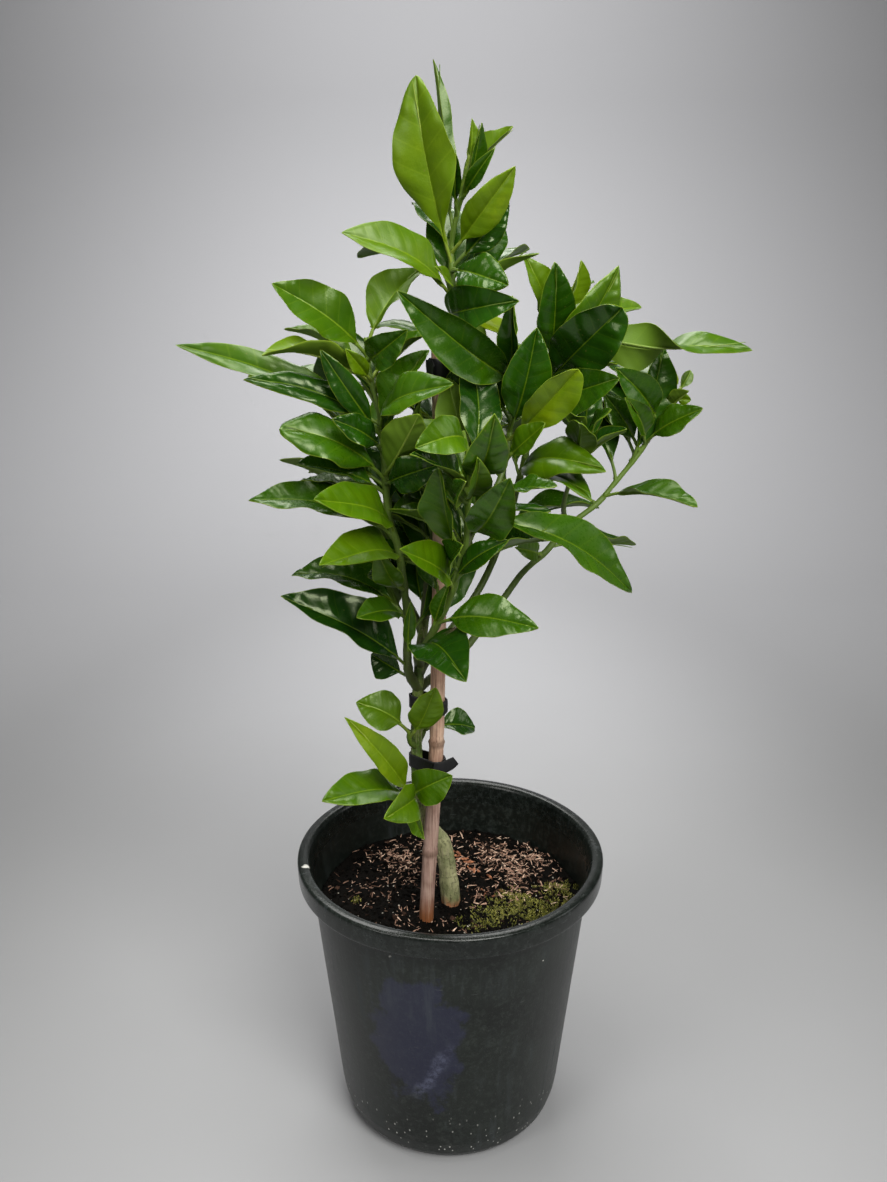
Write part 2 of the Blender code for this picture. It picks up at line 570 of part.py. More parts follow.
def make_pot():
    plastic = material("pot_plastic", (0.17, 0.19, 0.19), 0.5)
    pot = make_object("pot", lathe(pot_profile(), POT_SIDES), plastic)
    drills = []
    for i in range(DRAIN_HOLES):
        turn = 2.0 * math.pi * (i + 0.5) / DRAIN_HOLES
        middle = Vector((DRAIN_CIRCLE * math.cos(turn), DRAIN_CIRCLE * math.sin(turn), 0.0))
        ends = [middle - Vector((0, 0, 5)), middle + Vector((0, 0, 2 * FLOOR))]
        drills.append(make_object("drill", tube(ends, (DRAIN_RADIUS,) * 2, 12), plastic))
    apply_boolean(pot, "DIFFERENCE", drills)


def soil_height(x, y):
    """Gentle lumps, highest round the plant, a little lower along the wall."""
    away = math.hypot(x, y) / WALL_TOP_RADIUS
    lumps = math.sin(0.09 * x + 1.0) * math.cos(0.11 * y) + 0.6 * math.sin(0.21 * x - 0.17 * y)
    return SOIL_TOP + SOIL_RELIEF * (0.45 * lumps - 1.2 * away ** 4)


def soil_radius(height):
    """The soil's radius, a hair inside the pot's wall."""
    straight = (height - FOOT_HEIGHT) / (POT_HEIGHT - RIM_BAND - 1.0 - FOOT_HEIGHT)
    inside_foot = WALL_FOOT_RADIUS - WALL
    return inside_foot + (WALL_TOP_RADIUS - WALL + 0.6 - inside_foot) * straight - GAP - 0.2


def make_soil(cutters):
    """A plug of soil that follows the pot's wall, its top raised by a formula."""
    bark = material("soil_mix", (0.16, 0.11, 0.09), 0.95)
    floor = FLOOR + GAP
    profile = [(0.0, floor), (FOOT_RADIUS - 0.6, floor), (FOOT_RADIUS + 5.2, 8.8),
               (soil_radius(FOOT_HEIGHT), FOOT_HEIGHT + 0.5)]
    rim = soil_radius(SOIL_TOP - 4.0)
    for ring in range(SOIL_RINGS):
        profile.append((rim * (1.0 - ring / SOIL_RINGS), SOIL_TOP))
    profile.append((0.0, SOIL_TOP))
    points, faces = lathe(profile, POT_SIDES // 2)
    shaped = [(x, y, soil_height(x, y) if z == SOIL_TOP else z) for x, y, z in points]
    soil = make_object("soil", (shaped, faces), bark, sharp_angle=60.0)
    apply_boolean(soil, "DIFFERENCE", cutters)


def fat_tube(route, radii, sides):
    """A cutter that leaves the gap round the tube."""
    fat = [(radius + GAP) / math.cos(math.pi / sides) for radius in radii]
    return tube(route, fat, sides)


def stake_route():
    route = smooth_route(STAKE_ROUTE, 10.0)
    heights = [route[0].z, SOIL_TOP - 8.0]
    for node in STAKE_NODES:
        heights += [node - 3.5, node, node + 3.5]
    heights += [route[-1].z]
    return [at_height(route, height) for height in heights]


def stake_radii(route):
    low, high = route[0].z, route[-1].z
    radii = []
    for place in route:
        share = (place.z - low) / (high - low)
        swell = STAKE_NODE_SWELL if round(place.z) in STAKE_NODES else 0.0
        radii.append(STAKE_RADIUS[0] + (STAKE_RADIUS[1] - STAKE_RADIUS[0]) * share + swell)
    return radii


def tie_solid(middle_height, strip_height, stake, stem):
    """A strip wound once round stake and stem: an oblong ring about two round ends."""
    low, high = middle_height - strip_height / 2, middle_height + strip_height / 2
    ends = []
    for route, radii in (stem, stake):
        drift = (at_height(route, high) - at_height(route, low)).xy.length / 2
        ends.append((at_height(route, middle_height),
                     radius_at(route, radii, middle_height) + drift + TIE_SLACK))
    apart = ends[1][0] - ends[0][0]
    course = math.atan2(apart.y, apart.x)
    inner = []
    for (centre, radius), start in zip(ends, (90.0, -90.0)):
        for i in range(TIE_POINTS):
            turn = course + math.radians(start + 180.0 * i / (TIE_POINTS - 1))
            away = Vector((math.cos(turn), math.sin(turn), 0.0))
            inner.append((centre + away * radius, away))
    points = []
    for place, away in inner:
        outer = place + away * TIE_THICKNESS
        points += [(place.x, place.y, low), (outer.x, outer.y, low),
                   (outer.x, outer.y, high), (place.x, place.y, high)]
    faces = []
    count = len(inner)
    for i in range(count):
        a, b = 4 * i, 4 * ((i + 1) % count)
        for k in range(4):
            j = (k + 1) % 4
            faces.append((a + k, b + k, b + j, a + j))
    return points, faces


def radius_at(route, radii, height):
    """The radius of a rising tube at a height."""
    return float(np.interp(height, [place.z for place in route], radii))


def stem_shape(stem):
    route = smooth_route(stem.route, STEM_STEP)
    return route, taper(len(route), stem.radii)


def build():
    clear_scene()
    bark = material("bark", (0.36, 0.33, 0.22), 0.7)
    cane = material("bamboo", (0.62, 0.47, 0.38), 0.6)
    black = material("tie_plastic", (0.03, 0.03, 0.03), 0.45)
    green = material("leaf_green", (0.16, 0.36, 0.07), 0.35)

    trunk = ([Vector(p) for p in TRUNK_ROUTE], list(TRUNK_RADII))
    stake_line = stake_route()
    stake = (stake_line, stake_radii(stake_line))
    routes = {name: stem_shape(stem) for name, stem in STEMS.items()}

    make_pot()
    holes = [make_object("hole", fat_tube(*trunk, TRUNK_SIDES), bark),
             make_object("hole", fat_tube(*stake, STAKE_SIDES), cane)]
    make_soil(holes)
    trunk_solid = tube(*trunk, TRUNK_SIDES)
    stake_solid = tube(*stake, STAKE_SIDES)
    make_object("trunk", trunk_solid, bark)
    make_object("stake", stake_solid, cane)

    fixed = [trunk_solid, stake_solid, lathe(pot_profile(), POT_SIDES)]
    for name, height, strip_height in TIES:
        held = routes["crown"] if height > trunk[0][-1].z else trunk
        solid = tie_solid(height, strip_height, stake, held)
        make_object(name, solid, black)
        fixed.append(solid)

    placed = place_leaves(routes, fixed)
    for name, stem in STEMS.items():
        obj = make_object(name, tube(*routes[name], STEM_SIDES), green)
        leaves = [make_object("leaf", leaf_solid(leaf, root), green) for leaf, root in placed[name]]
        apply_boolean(obj, "UNION", leaves)
        if stem.parent:
            parent = trunk if stem.parent == "trunk" else routes[stem.parent]
            sides = TRUNK_SIDES if stem.parent == "trunk" else STEM_SIDES
            apply_boolean(obj, "DIFFERENCE", [make_object("cutter", fat_tube(*parent, sides), green)])


build()
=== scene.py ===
"""Looks of the young orange tree in its black nursery pot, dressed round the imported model.

Millimetres in every table and function, metres in the meshes. The leaf table and the way that the
leaves are bent clear of each other repeat the part's own, so that every fine leaf lies on its solid.
"""

import json
import math
from collections import namedtuple

import bpy
import numpy as np
from mathutils import Matrix, Vector, noise
from mathutils.bvhtree import BVHTree

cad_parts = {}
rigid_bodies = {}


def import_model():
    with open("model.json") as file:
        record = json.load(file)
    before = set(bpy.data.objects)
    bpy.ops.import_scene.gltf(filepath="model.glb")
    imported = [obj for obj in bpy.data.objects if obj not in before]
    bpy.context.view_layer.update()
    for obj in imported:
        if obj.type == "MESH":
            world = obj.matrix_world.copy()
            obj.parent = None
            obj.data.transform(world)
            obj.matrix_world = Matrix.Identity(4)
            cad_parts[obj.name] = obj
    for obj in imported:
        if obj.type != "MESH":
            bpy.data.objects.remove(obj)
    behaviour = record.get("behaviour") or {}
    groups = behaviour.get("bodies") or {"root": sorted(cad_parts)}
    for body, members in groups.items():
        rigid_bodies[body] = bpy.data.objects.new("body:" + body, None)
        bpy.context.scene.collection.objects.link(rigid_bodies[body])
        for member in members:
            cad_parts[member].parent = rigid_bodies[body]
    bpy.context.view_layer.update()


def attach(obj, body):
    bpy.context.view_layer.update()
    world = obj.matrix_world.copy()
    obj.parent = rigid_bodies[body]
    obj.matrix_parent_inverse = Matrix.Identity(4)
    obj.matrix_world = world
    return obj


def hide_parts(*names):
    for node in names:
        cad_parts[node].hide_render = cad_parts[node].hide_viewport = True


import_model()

MM = 0.001
GAP = 0.3

# Pot
POT_HEIGHT = 191.5
RIM_RADIUS = 100.0
RIM_BAND = 14.7
LIP_WIDTH = 8.0
WALL_TOP_RADIUS = 91.0
WALL_FOOT_RADIUS = 75.2
FOOT_HEIGHT = 25.0
FOOT_RADIUS = 62.0
WALL = 2.0
FLOOR = 3.0
POT_SIDES = 48               # of the solid
FINE_POT_SIDES = 192
EDGE_CUT = 0.5               # how far a corner of the profile is rounded off
DRAIN_HOLES = 6
DRAIN_RADIUS = 5.0
DRAIN_CIRCLE = 44.0

# Soil
SOIL_TOP = 158.0
SOIL_RELIEF = 2.2
ROOT_DEPTH = 62.0
BED_RINGS = 96
BED_SECTORS = 230

# Stake
STAKE_RADIUS = (4.7, 4.1)
STAKE_ROUTE = ((-16, -27, SOIL_TOP - ROOT_DEPTH), (-15.4, -27, 158), (-9.2, -27, 268),
               (-7.6, -26, 330), (-6.2, -22, 440), (-7.2, -18, 522))
STAKE_NODES = (206, 282, 366, 450)
STAKE_NODE_SWELL = 0.7
STAKE_SIDES = 12

# Trunk
TRUNK_ROUTE = ((1, -9, SOIL_TOP - ROOT_DEPTH), (0.5, -9, 150), (0, -9, 162), (-2, -8.5, 184),
               (-5, -8, 200), (-11, -9.5, 210), (-17, -14, 222), (-20.5, -19, 245),
               (-21, -20, 280), (-20, -18, 310), (-18.5, -15, 334), (-16, -11, 354))
TRUNK_RADII = (4.5, 5.9, 6.1, 5.6, 5.3, 4.6, 3.9, 3.5, 3.4, 3.3, 3.1, 2.9)
TRUNK_SIDES = 10

# Ties
TIES = (("tie_low", 267.0, 9.0), ("tie_mid", 306.0, 9.0), ("tie_top", 506.0, 14.0))
TIE_THICKNESS = 1.2
TIE_SLACK = 0.35
TIE_POINTS = 8               # of each end of the solid's ring
FINE_TIE_POINTS = 40

# Leaves, as the part places them
BLADE = 0.9
PETIOLE_LENGTH = 10.0
PETIOLE_SHARE = 0.25
PETIOLE_WIDTH = 2.6
PETIOLE_DEPTH = 1.9
ROWS = (0.16, 0.40, 0.64, 0.86, 1.0)
SHORT_ROWS = (0.22, 0.52, 0.80, 1.0)
SHORT_LEAF = 56.0
TWIST_ROWS = (0.16, 0.34, 0.46, 0.57, 0.68, 0.84, 1.0)
TURNED_OVER = 60.0
TWIST_START = 0.38
TWIST_END = 0.78
COLUMNS = (-1.0, 0.0, 1.0)
WAVE_HEIGHT = 0.05
WAVES = 2.5
CLEARANCE = 1.0
STEM_SIDES = 6
STEM_STEP = 27.0
GOLDEN_ANGLE = 137.5
GROWTH_SEED = 7
GROWTH_STRAY = 15.0
GROWTH_RISE = (8.0, 48.0)
GROWTH_LENGTH = (54.0, 80.0)
GROWTH_WIDTH = (0.38, 0.46)
GROWTH_ARCH = (0.10, 0.18)
GROWTH_FOLD = 14

# Fine leaves
FINE_ROWS = 46
FINE_COLUMNS = (0.0, 0.05, 0.12, 0.22, 0.36, 0.52, 0.68, 0.82, 0.92, 1.0)
GROWN_ROWS = 24
GROWN_COLUMNS = (0.0, 0.08, 0.25, 0.5, 0.75, 0.92, 1.0)
FINE_STEM_STEP = 4.0
FINE_STEM_SIDES = 14
LEAF_SEED = 1000
QUILT = 0.030                # height of the swellings between side veins, of the leaf's width
GROWN_TONE = (0.08, 0.42)

# One leaf: the height where it leaves its stem, its tip, its width, where its upper face looks
# (degrees round from the front, degrees up), its arch as a share of its length, the degrees by
# which each half is folded up, its tone from 0, old and nearly black, to 1, young and yellow, the
# degrees by which it turns over on its way to the tip, how blunt its tip is, and how drawn out its base.
Leaf = namedtuple("Leaf", "root tip width facing arch fold tone twist blunt wedge", defaults=(0, 0.0, 0.45))
Growth = namedtuple("Growth", "count low high azimuth spread")
Stem = namedtuple("Stem", "parent route radii leaves growth")

STEMS = {
    "crown": Stem(None, (
        (-15.7, -10.6, 355), (-12, -9, 390), (-7, -9, 428), (-4, -9, 468), (-1, -8, 509),
        (1, -3, 542), (0, 0, 570), (3, 0, 588), (6, 2, 601), (9, 3, 616)), (2.7, 1.1), (
        (562, -21, -14, 657, 38, -25, 10, 0.05, 14, 0.72, 0, 0.0, 1.3),
        (578, -6, 8, 667, 15, 50, 5, -0.03, 40, 0.35),
        (568, 33, -24, 612, 22, 25, 25, 0.08, 18, 0.75),
        (542, -58, -30, 579, 31, -15, 50, 0.14, 22, 0.6),
        (558, 30, -40, 553, 25, 15, 8, 0.14, 12, 0.2),
        (560, 31, -4, 595, 20, 40, 35, 0.08, 15, 0.1),
        (550, 30, 18, 591, 24, 60, 10, 0.08, 20, 0.25),
        (603, 33, -6, 632, 16, -20, 55, 0.08, 40, 0.7),
        (590, 15, -14, 634, 13, 30, 10, 0.04, 30, 0.25),
        (612, 11, -4, 637, 8, 40, 35, 0.05, 30, 0.7),
        (614, 19, 5, 630, 8, 20, 70, 0.10, 30, 0.7),
        (594, 22, -20, 621, 10, 15, 35, 0.10, 30, 0.3),
        (587, 2, -16, 619, 9, -10, 25, 0.06, 30, 0.1),
        (608, 24, -10, 626, 8, 30, 30, 0.12, 30, 0.6),
        (534, 33, -60, 547, 26, 10, 38, 0.20, 14, 0.15),
        (538, -3, -24, 567, 14, 10, 40, 0.05, 20, 0.6),
        (364, -6, 16, 396, 24, 5, 40, 0.10, 14, 0.1),
        (358, -22, 10, 392, 20, -10, 35, 0.08, 14, 0.15),
    ), (Growth(3, 535, 570, 205, 50), Growth(19, 372, 534, 0, 360),
        Growth(6, 362, 418, 180, 70))),
    "stem_left": Stem("trunk", (
        (-19.8, -18, 314), (-25, -21.5, 325), (-26, -22.5, 340), (-25.5, -23, 356),
        (-26.5, -25, 373), (-30, -30, 405), (-35, -32, 424), (-37, -34, 447), (-38, -33, 466),
        (-40, -30, 486), (-45, -26, 505), (-47, -20, 524)), (2.6, 1.2), (
        (514, -94, -44, 554, 29, -10, 40, 0.10, 16, 0.45),
        (478, -152, -20, 521, 22, 0, 62, 0.05, 16, 0.42, -25),
        (470, -69, -52, 521, 16, -25, 45, 0.06, 20, 0.15),
        (474, -111, -52, 507, 20, 10, 50, 0.11, 16, 0.15),
        (447, -90, -60, 484, 33, -5, 48, 0.12, 12, 0.35, 0, 0.8),
        (413, -113, -40, 438, 32, 0, 74, 0.12, 14, 0.3),
        (328, -98, -40, 380, 36, 0, 60, 0.10, 14, 0.05),
        (321, -49, -8, 332, 21, -15, 18, 0.08, 14, 0.05),
        (518, -17, -2, 561, 29, -40, 35, 0.12, 28, 0.6),
        (362, -96, -8, 385, 31, 0, 74, 0.15, 16, 0.25),
        (499, -99, -54, 522, 27, 0, 70, 0.10, 18, 0.7),
        (506, -93, -8, 529, 20, 0, 86, 0.08, 35, 0.5),
        (475, 1, -74, 506, 27, 5, 45, 0.18, 16, 0.4),
        (450, -17, -80, 492, 28, 165, 35, -0.06, 16, 0.6),
        (416, -72, -86, 448, 30, 5, 45, 0.14, 14, 0.5),
        (398, -70, -86, 412, 28, 5, 45, 0.16, 14, 0.6),
        (392, -48, -38, 392, 12, -30, 20, 0.12, 14, 0.05),
        (338, -23, -42, 378, 9, 15, 12, 0.03, 20, 0.4),
        (443, -76, -30, 462, 20, -30, 55, 0.10, 16, 0.35),
        (438, -84, -50, 460, 23, 0, 70, 0.12, 16, 0.25),
        (430, -90, -20, 442, 22, 0, 86, 0.10, 18, 0.3),
        (380, -36, -52, 410, 18, -15, 15, 0.12, 12, 0.5),
        (359, -53, -58, 374, 20, 0, 55, 0.14, 14, 0.4),
        (496, -13, -34, 529, 19, 10, 70, 0.10, 30, 0.35),
        (466, -14, -52, 521, 26, -30, 35, 0.08, 16, 0.35),
        (512, -23, -58, 532, 20, 20, 20, 0.15, 14, 0.3),
        (462, -62, -64, 487, 19, 0, 50, 0.10, 20, 0.1),
        (445, -5, -72, 465, 22, 10, 45, 0.12, 18, 0.1),
        (501, -56, -42, 521, 11, 0, 45, 0.10, 25, 0.75),
        (502, -34, -46, 515, 10, 30, 50, 0.10, 25, 0.75),
    ), (Growth(7, 385, 490, 165, 170), Growth(5, 345, 400, 180, 90))),
    "stem_left_back": Stem("trunk", (
        (-16.8, -12.2, 347), (-22, -6, 357), (-31, 2, 374), (-41, 12, 400), (-51, 20, 428),
        (-58, 26, 456), (-62, 30, 482)), (2.3, 1.2), (
        (470, -74, 8, 515, 22, -45, 10, 0.06, 16, 0.2),
    ), (Growth(9, 385, 482, 220, 170),)),
    "stem_centre": Stem("trunk", (
        (-18.9, -15.7, 329), (-19.5, -27, 339), (-13, -38, 353), (-1, -47, 381), (3, -51, 396),
        (8, -55, 416), (9, -57, 442), (10, -59, 459), (6, -61, 480)), (2.5, 1.2), (
        (388, -28, -90, 423, 25, -5, 40, 0.10, 12, 0.55),
        (358, -2, -36, 392, 10, -20, 15, 0.05, 20, 0.3),
        (364, 48, -68, 371, 28, 10, 42, 0.18, 10, 0.3),
        (343, 7, -92, 352, 34, 12, 35, 0.16, 8, 0.1),
        (472, -18, -98, 479, 23, 0, 30, 0.20, 14, 0.45),
        (456, 21, -92, 496, 25, 10, 30, 0.14, 8, 0.4),
        (455, 10, -54, 515, 27, 25, 10, 0.10, 10, 0.1),
        (407, -6, -78, 465, 26, -45, 15, 0.06, 22, 0.4),
        (443, -19, -88, 477, 23, -10, 50, 0.06, 16, 0.15),
        (391, 30, -74, 424, 15, 30, 45, 0.12, 14, 0.2),
        (400, -6, -86, 436, 20, -20, 30, 0.10, 14, 0.2),
        (442, 14, -84, 472, 17, 10, 20, 0.06, 26, 0.5),
        (440, 2, -84, 469, 16, -20, 20, 0.08, 20, 0.2),
        (405, 0, -38, 449, 20, 50, 10, 0.06, 16, 0.2),
        (376, -14, -30, 413, 18, -60, 20, 0.08, 14, 0.3),
    ), (Growth(5, 385, 470, 190, 150),)),
    "stem_centre_right": Stem("stem_centre", (
        (7.4, -54, 413), (14, -46, 427), (23, -37, 439), (30, -29, 455), (33, -22, 473),
        (35, -16, 495), (38, -12, 519)), (1.9, 1.1), (
        (428, 107, -20, 376, 33, 10, 62, 0.13, 16, 0.35, 12),
        (500, -28, -62, 552, 27, -20, 42, 0.14, 12, 0.25),
        (468, 66, -58, 512, 24, 18, 15, 0.06, 10, 0.78, 0, 0.9),
        (472, 35, -44, 532, 30, 5, 20, 0.08, 24, 0.2),
        (421, 30, -84, 462, 26, 10, 30, 0.14, 8, 0.35),
        (430, 13, -76, 463, 20, -20, 55, 0.20, 10, 0.45),
        (478, 19, -50, 511, 20, -30, 25, 0.08, 24, 0.2),
        (510, 5, -64, 538, 14, -10, 45, 0.24, 12, 0.85),
        (498, 30, -42, 548, 14, -20, 20, 0.06, 20, 0.15),
        (505, 34, -4, 543, 16, -55, 20, 0.06, 16, 0.2),
        (437, 57, -58, 449, 18, 10, 70, 0.08, 22, 0.3),
        (456, 51, -44, 482, 16, 20, 55, 0.08, 16, 0.45),
    ), ()),
    "stem_right_back": Stem("trunk", (
        (-19.2, -16.4, 323), (-12, -7.5, 332), (0, 4, 343), (19, 21, 366), (34, 29, 400),
        (44, 32, 438), (51, 31, 470), (58, 28, 497), (61, 26, 521), (62, 24, 541)), (2.6, 1.2), (
        (530, 173, 10, 519, 31, 180, 2, -0.09, 12, 0.45, 128),
        (490, 92, -26, 540, 35, 15, 25, 0.08, 14, 0.12, 0, 0.7),
        (500, 95, 2, 560, 31, 40, 35, 0.10, 14, 0.5),
        (502, 58, -14, 562, 25, 10, 15, 0.05, 16, 0.2),
        (433, 86, -32, 454, 32, 10, 35, 0.18, 12, 0.5),
        (518, 42, 10, 567, 22, -10, 55, 0.06, 14, 0.65),
        (528, 75, 16, 563, 16, 50, 20, 0.06, 24, 0.8),
        (518, 115, 40, 534, 22, 20, 66, 0.10, 16, 0.6),
        (480, 93, -20, 502, 28, 20, 30, 0.12, 12, 0.3),
    ), (Growth(10, 390, 512, 170, 150), Growth(5, 400, 490, 0, 200))),
    "branch_right": Stem("trunk", (
        (-19.8, -17.6, 313), (-12, -12.5, 318), (-3, -6, 323), (9, 3, 331), (31, 13, 358),
        (45, 19, 376), (60, 23, 389), (71, 27, 402), (91, 31, 417), (100, 34, 427),
        (117, 38, 448), (129, 40, 468), (139, 42, 484)), (2.5, 1.1), (
        (421, 146, -2, 423, 25, 0, 86, 0.10, 18, 0.35),
        (391, 120, 54, 382, 24, 10, 88, 0.06, 18, 0.3),
        (453, 149, 14, 479, 21, 20, 42, 0.10, 16, 0.35),
        (441, 129, 16, 504, 28, 35, 15, 0.05, 16, 0.2),
        (466, 97, 22, 503, 23, -20, 30, 0.08, 16, 0.3),
        (448, 93, 20, 485, 20, -10, 48, 0.08, 16, 0.3),
        (470, 118, 74, 490, 26, 160, -20, 0.08, 10, 0.7),
        (453, 103, 8, 486, 16, -15, 52, 0.06, 20, 0.4),
        (470, 141, 22, 488, 12, 35, 60, 0.06, 25, 0.6),
        (482, 133, 42, 499, 8, 25, 50, 0.05, 20, 0.95),
        (483, 148, 50, 497, 8, 25, 40, 0.05, 20, 0.6),
        (480, 146, 30, 481, 8, 20, 30, 0.08, 20, 0.7),
        (386, 39, -4, 399, 15, -15, 25, 0.08, 14, 0.5),
    ), (Growth(6, 395, 480, 165, 140),)),
    "stem_right_up": Stem("branch_right", (
        (72, 27.2, 403), (69, 17, 420), (72, 8, 439), (78, 2, 457), (82, -2, 469)), (1.6, 1.0), (
        (450, 79, 0, 503, 22, 35, 20, 0.08, 16, 0.2),
        (438, 67, -32, 481, 22, 15, 30, 0.08, 20, 0.2),
        (447, 101, -10, 471, 16, 25, 60, 0.08, 18, 0.1),
        (456, 61, -34, 479, 18, -40, 50, 0.08, 14, 0.35),
        (460, 88, -26, 486, 16, 0, 35, 0.08, 16, 0.3),
    ), ()),
    "shoot_mid": Stem("trunk", (
        (-21, -20, 275), (-25, -27, 282), (-25, -30, 291)), (1.5, 1.0), (
        (289, -56, -38, 314, 27, -5, 50, 0.14, 12, 0.6),
        (286, -9, -48, 328, 22, 20, 20, 0.08, 14, 0.65),
    ), ()),
    "shoot_back": Stem("trunk", (
        (-21, -19.5, 275), (-17, -11, 280), (-14, -7, 287)), (1.5, 1.0), (
        (282, 17, 4, 277, 20, 20, 60, 0.12, 16, 0.15),
    ), ()),
    "shoot_low": Stem("trunk", (
        (-19.3, -17.2, 233), (-24, -26, 240), (-26, -32, 250)), (1.5, 1.0), (
        (242, -75, -72, 265, 29, 0, 70, 0.14, 14, 0.45),
        (248, -59, -52, 314, 19, -10, 52, 0.08, 16, 0.8),
        (244, -37, -84, 262, 23, 0, 50, 0.14, 14, 0.6),
        (246, 1, -80, 271, 25, 10, 30, 0.14, 10, 0.5),
        (239, -16, -52, 229, 12, -10, 0, 0.10, 10, 0.5),
    ), ()),
}


def leaf_of(root, x, y, z, width, around, up, *rest):
    """A leaf from one row of the table."""
    return Leaf(root, (x, y, z), width, (around, up), *rest)


STEMS = {name: stem._replace(leaves=[leaf_of(*row) for row in stem.leaves]) for name, stem in STEMS.items()}


def smooth_route(points, step):
    """Points about step apart on a smooth curve through the given ones."""
    given = [Vector(p) for p in points]
    padded = [2 * given[0] - given[1], *given, 2 * given[-1] - given[-2]]
    route = [given[0]]
    for before, start, end, after in zip(padded, padded[1:], padded[2:], padded[3:]):
        pieces = max(1, round((end - start).length / step))
        for i in range(1, pieces + 1):
            t = i / pieces
            route.append(0.5 * (2 * start + (end - before) * t
                                + (2 * before - 5 * start + 4 * end - after) * t ** 2
                                + (3 * start - before - 3 * end + after) * t ** 3))
    return route


def ring_frames(route):
    """Two directions across a route at each of its points, without a sudden turn."""
    frames = []
    side = None
    for i in range(len(route)):
        ahead = (route[min(i + 1, len(route) - 1)] - route[max(i - 1, 0)]).normalized()
        if side is None:
            side = ahead.cross(Vector((0.2, 1.0, 0.1))).normalized()
        side = (side - side.dot(ahead) * ahead).normalized()
        frames.append((side, ahead.cross(side)))
    return frames


def tube(route, radii, sides):
    """A closed tube along a route, with a radius at each of its points."""
    points = []
    for place, radius, (side, over) in zip(route, radii, ring_frames(route)):
        for k in range(sides):
            turn = 2.0 * math.pi * k / sides
            points.append(place + radius * (math.cos(turn) * side + math.sin(turn) * over))
    faces = []
    for i in range(len(route) - 1):
        for k in range(sides):
            j = (k + 1) % sides
            a, b = i * sides, (i + 1) * sides
            faces.append((a + k, a + j, b + j, b + k))
    faces.append(tuple(range(sides))[::-1])
    faces.append(tuple(range((len(route) - 1) * sides, len(route) * sides)))
    return points, faces


def lathe(profile, sides):
    """A solid turned round +Z. The profile runs from the axis, up its outside, back to the axis."""
    points = []
    rings = []
    for radius, height in profile:
        if radius == 0.0:
            rings.append([len(points)])
            points.append((0.0, 0.0, height))
            continue
        rings.append(list(range(len(points), len(points) + sides)))
        for i in range(sides):
            turn = 2.0 * math.pi * i / sides
            points.append((radius * math.cos(turn), radius * math.sin(turn), height))
    faces = []
    for low, high in zip(rings, rings[1:]):
        for i in range(sides):
            j = (i + 1) % sides
            if len(low) == 1:
                faces.append((low[0], high[j], high[i]))
            elif len(high) == 1:
                faces.append((low[i], low[j], high[0]))
            else:
                faces.append((low[i], low[j], high[j], high[i]))
    return points, faces


def taper(count, radii):
    return [radii[0] + (radii[1] - radii[0]) * i / (count - 1) for i in range(count)]


def at_height(route, height):
    """Where a route first passes a height."""
    for low, high in zip(route, route[1:]):
        if (low.z - height) * (high.z - height) <= 0.0 and low.z != high.z:
            return low.lerp(high, (height - low.z) / (high.z - low.z))
    return route[-1].copy() if height > route[-1].z else route[0].copy()


def radius_at(route, radii, height):
    """The radius of a rising tube at a height."""
    return float(np.interp(height, [place.z for place in route], radii))


def facing_vector(facing):
    """The direction of (degrees round from the front, degrees up)."""
    round_, up = (math.radians(angle) for angle in facing)
    return Vector((math.sin(round_) * math.cos(up), -math.cos(round_) * math.cos(up), math.sin(up)))


def outline(along):
    """Half width of an orange leaf's blade as a share of its widest, from stalk (0) to tip (1)."""
    body = math.sin(math.pi * along ** 0.86)
    return max(body, 0.0) ** 0.78 * (1.0 - 0.30 * along ** 3)


def leaf_line(leaf, root):
    """A leaf's length, its stalk's share of it, and a function that gives the middle, the side and
    the normal at any share of the length."""
    chord = Vector(leaf.tip) - root
    length = chord.length
    ahead = chord / length
    look = facing_vector(leaf.facing)
    up = (look - look.dot(ahead) * ahead).normalized()
    rise = Matrix.Rotation(math.radians(leaf.twist / 2), 3, ahead) @ up

    def at(share):
        turned = min(max((share - TWIST_START) / (TWIST_END - TWIST_START), 0.0), 1.0)
        twist = math.radians(leaf.twist) * turned * turned * (3.0 - 2.0 * turned)
        normal = Matrix.Rotation(twist, 3, ahead) @ up
        bend = leaf.arch * length * math.sin(math.pi * share ** 0.9)
        slope = leaf.arch * math.pi * math.cos(math.pi * share ** 0.9)
        middle = root + ahead * (share * length) + rise * bend
        return middle, ahead.cross(normal), (normal - slope * ahead).normalized()

    return length, min(PETIOLE_LENGTH, PETIOLE_SHARE * length) / length, at


def strip(low, high):
    """Triangles between two rows of points, low and high, of which one may hold fewer points."""
    faces = []
    i = j = 0
    while i < len(low) - 1 or j < len(high) - 1:
        climb = (j + 1) * (len(low) - 1) < (i + 1) * (len(high) - 1)
        if j < len(high) - 1 and (climb or i == len(low) - 1):
            faces.append((low[i], high[j + 1], high[j]))
            j += 1
        else:
            faces.append((low[i], low[i + 1], high[j]))
            i += 1
    return faces


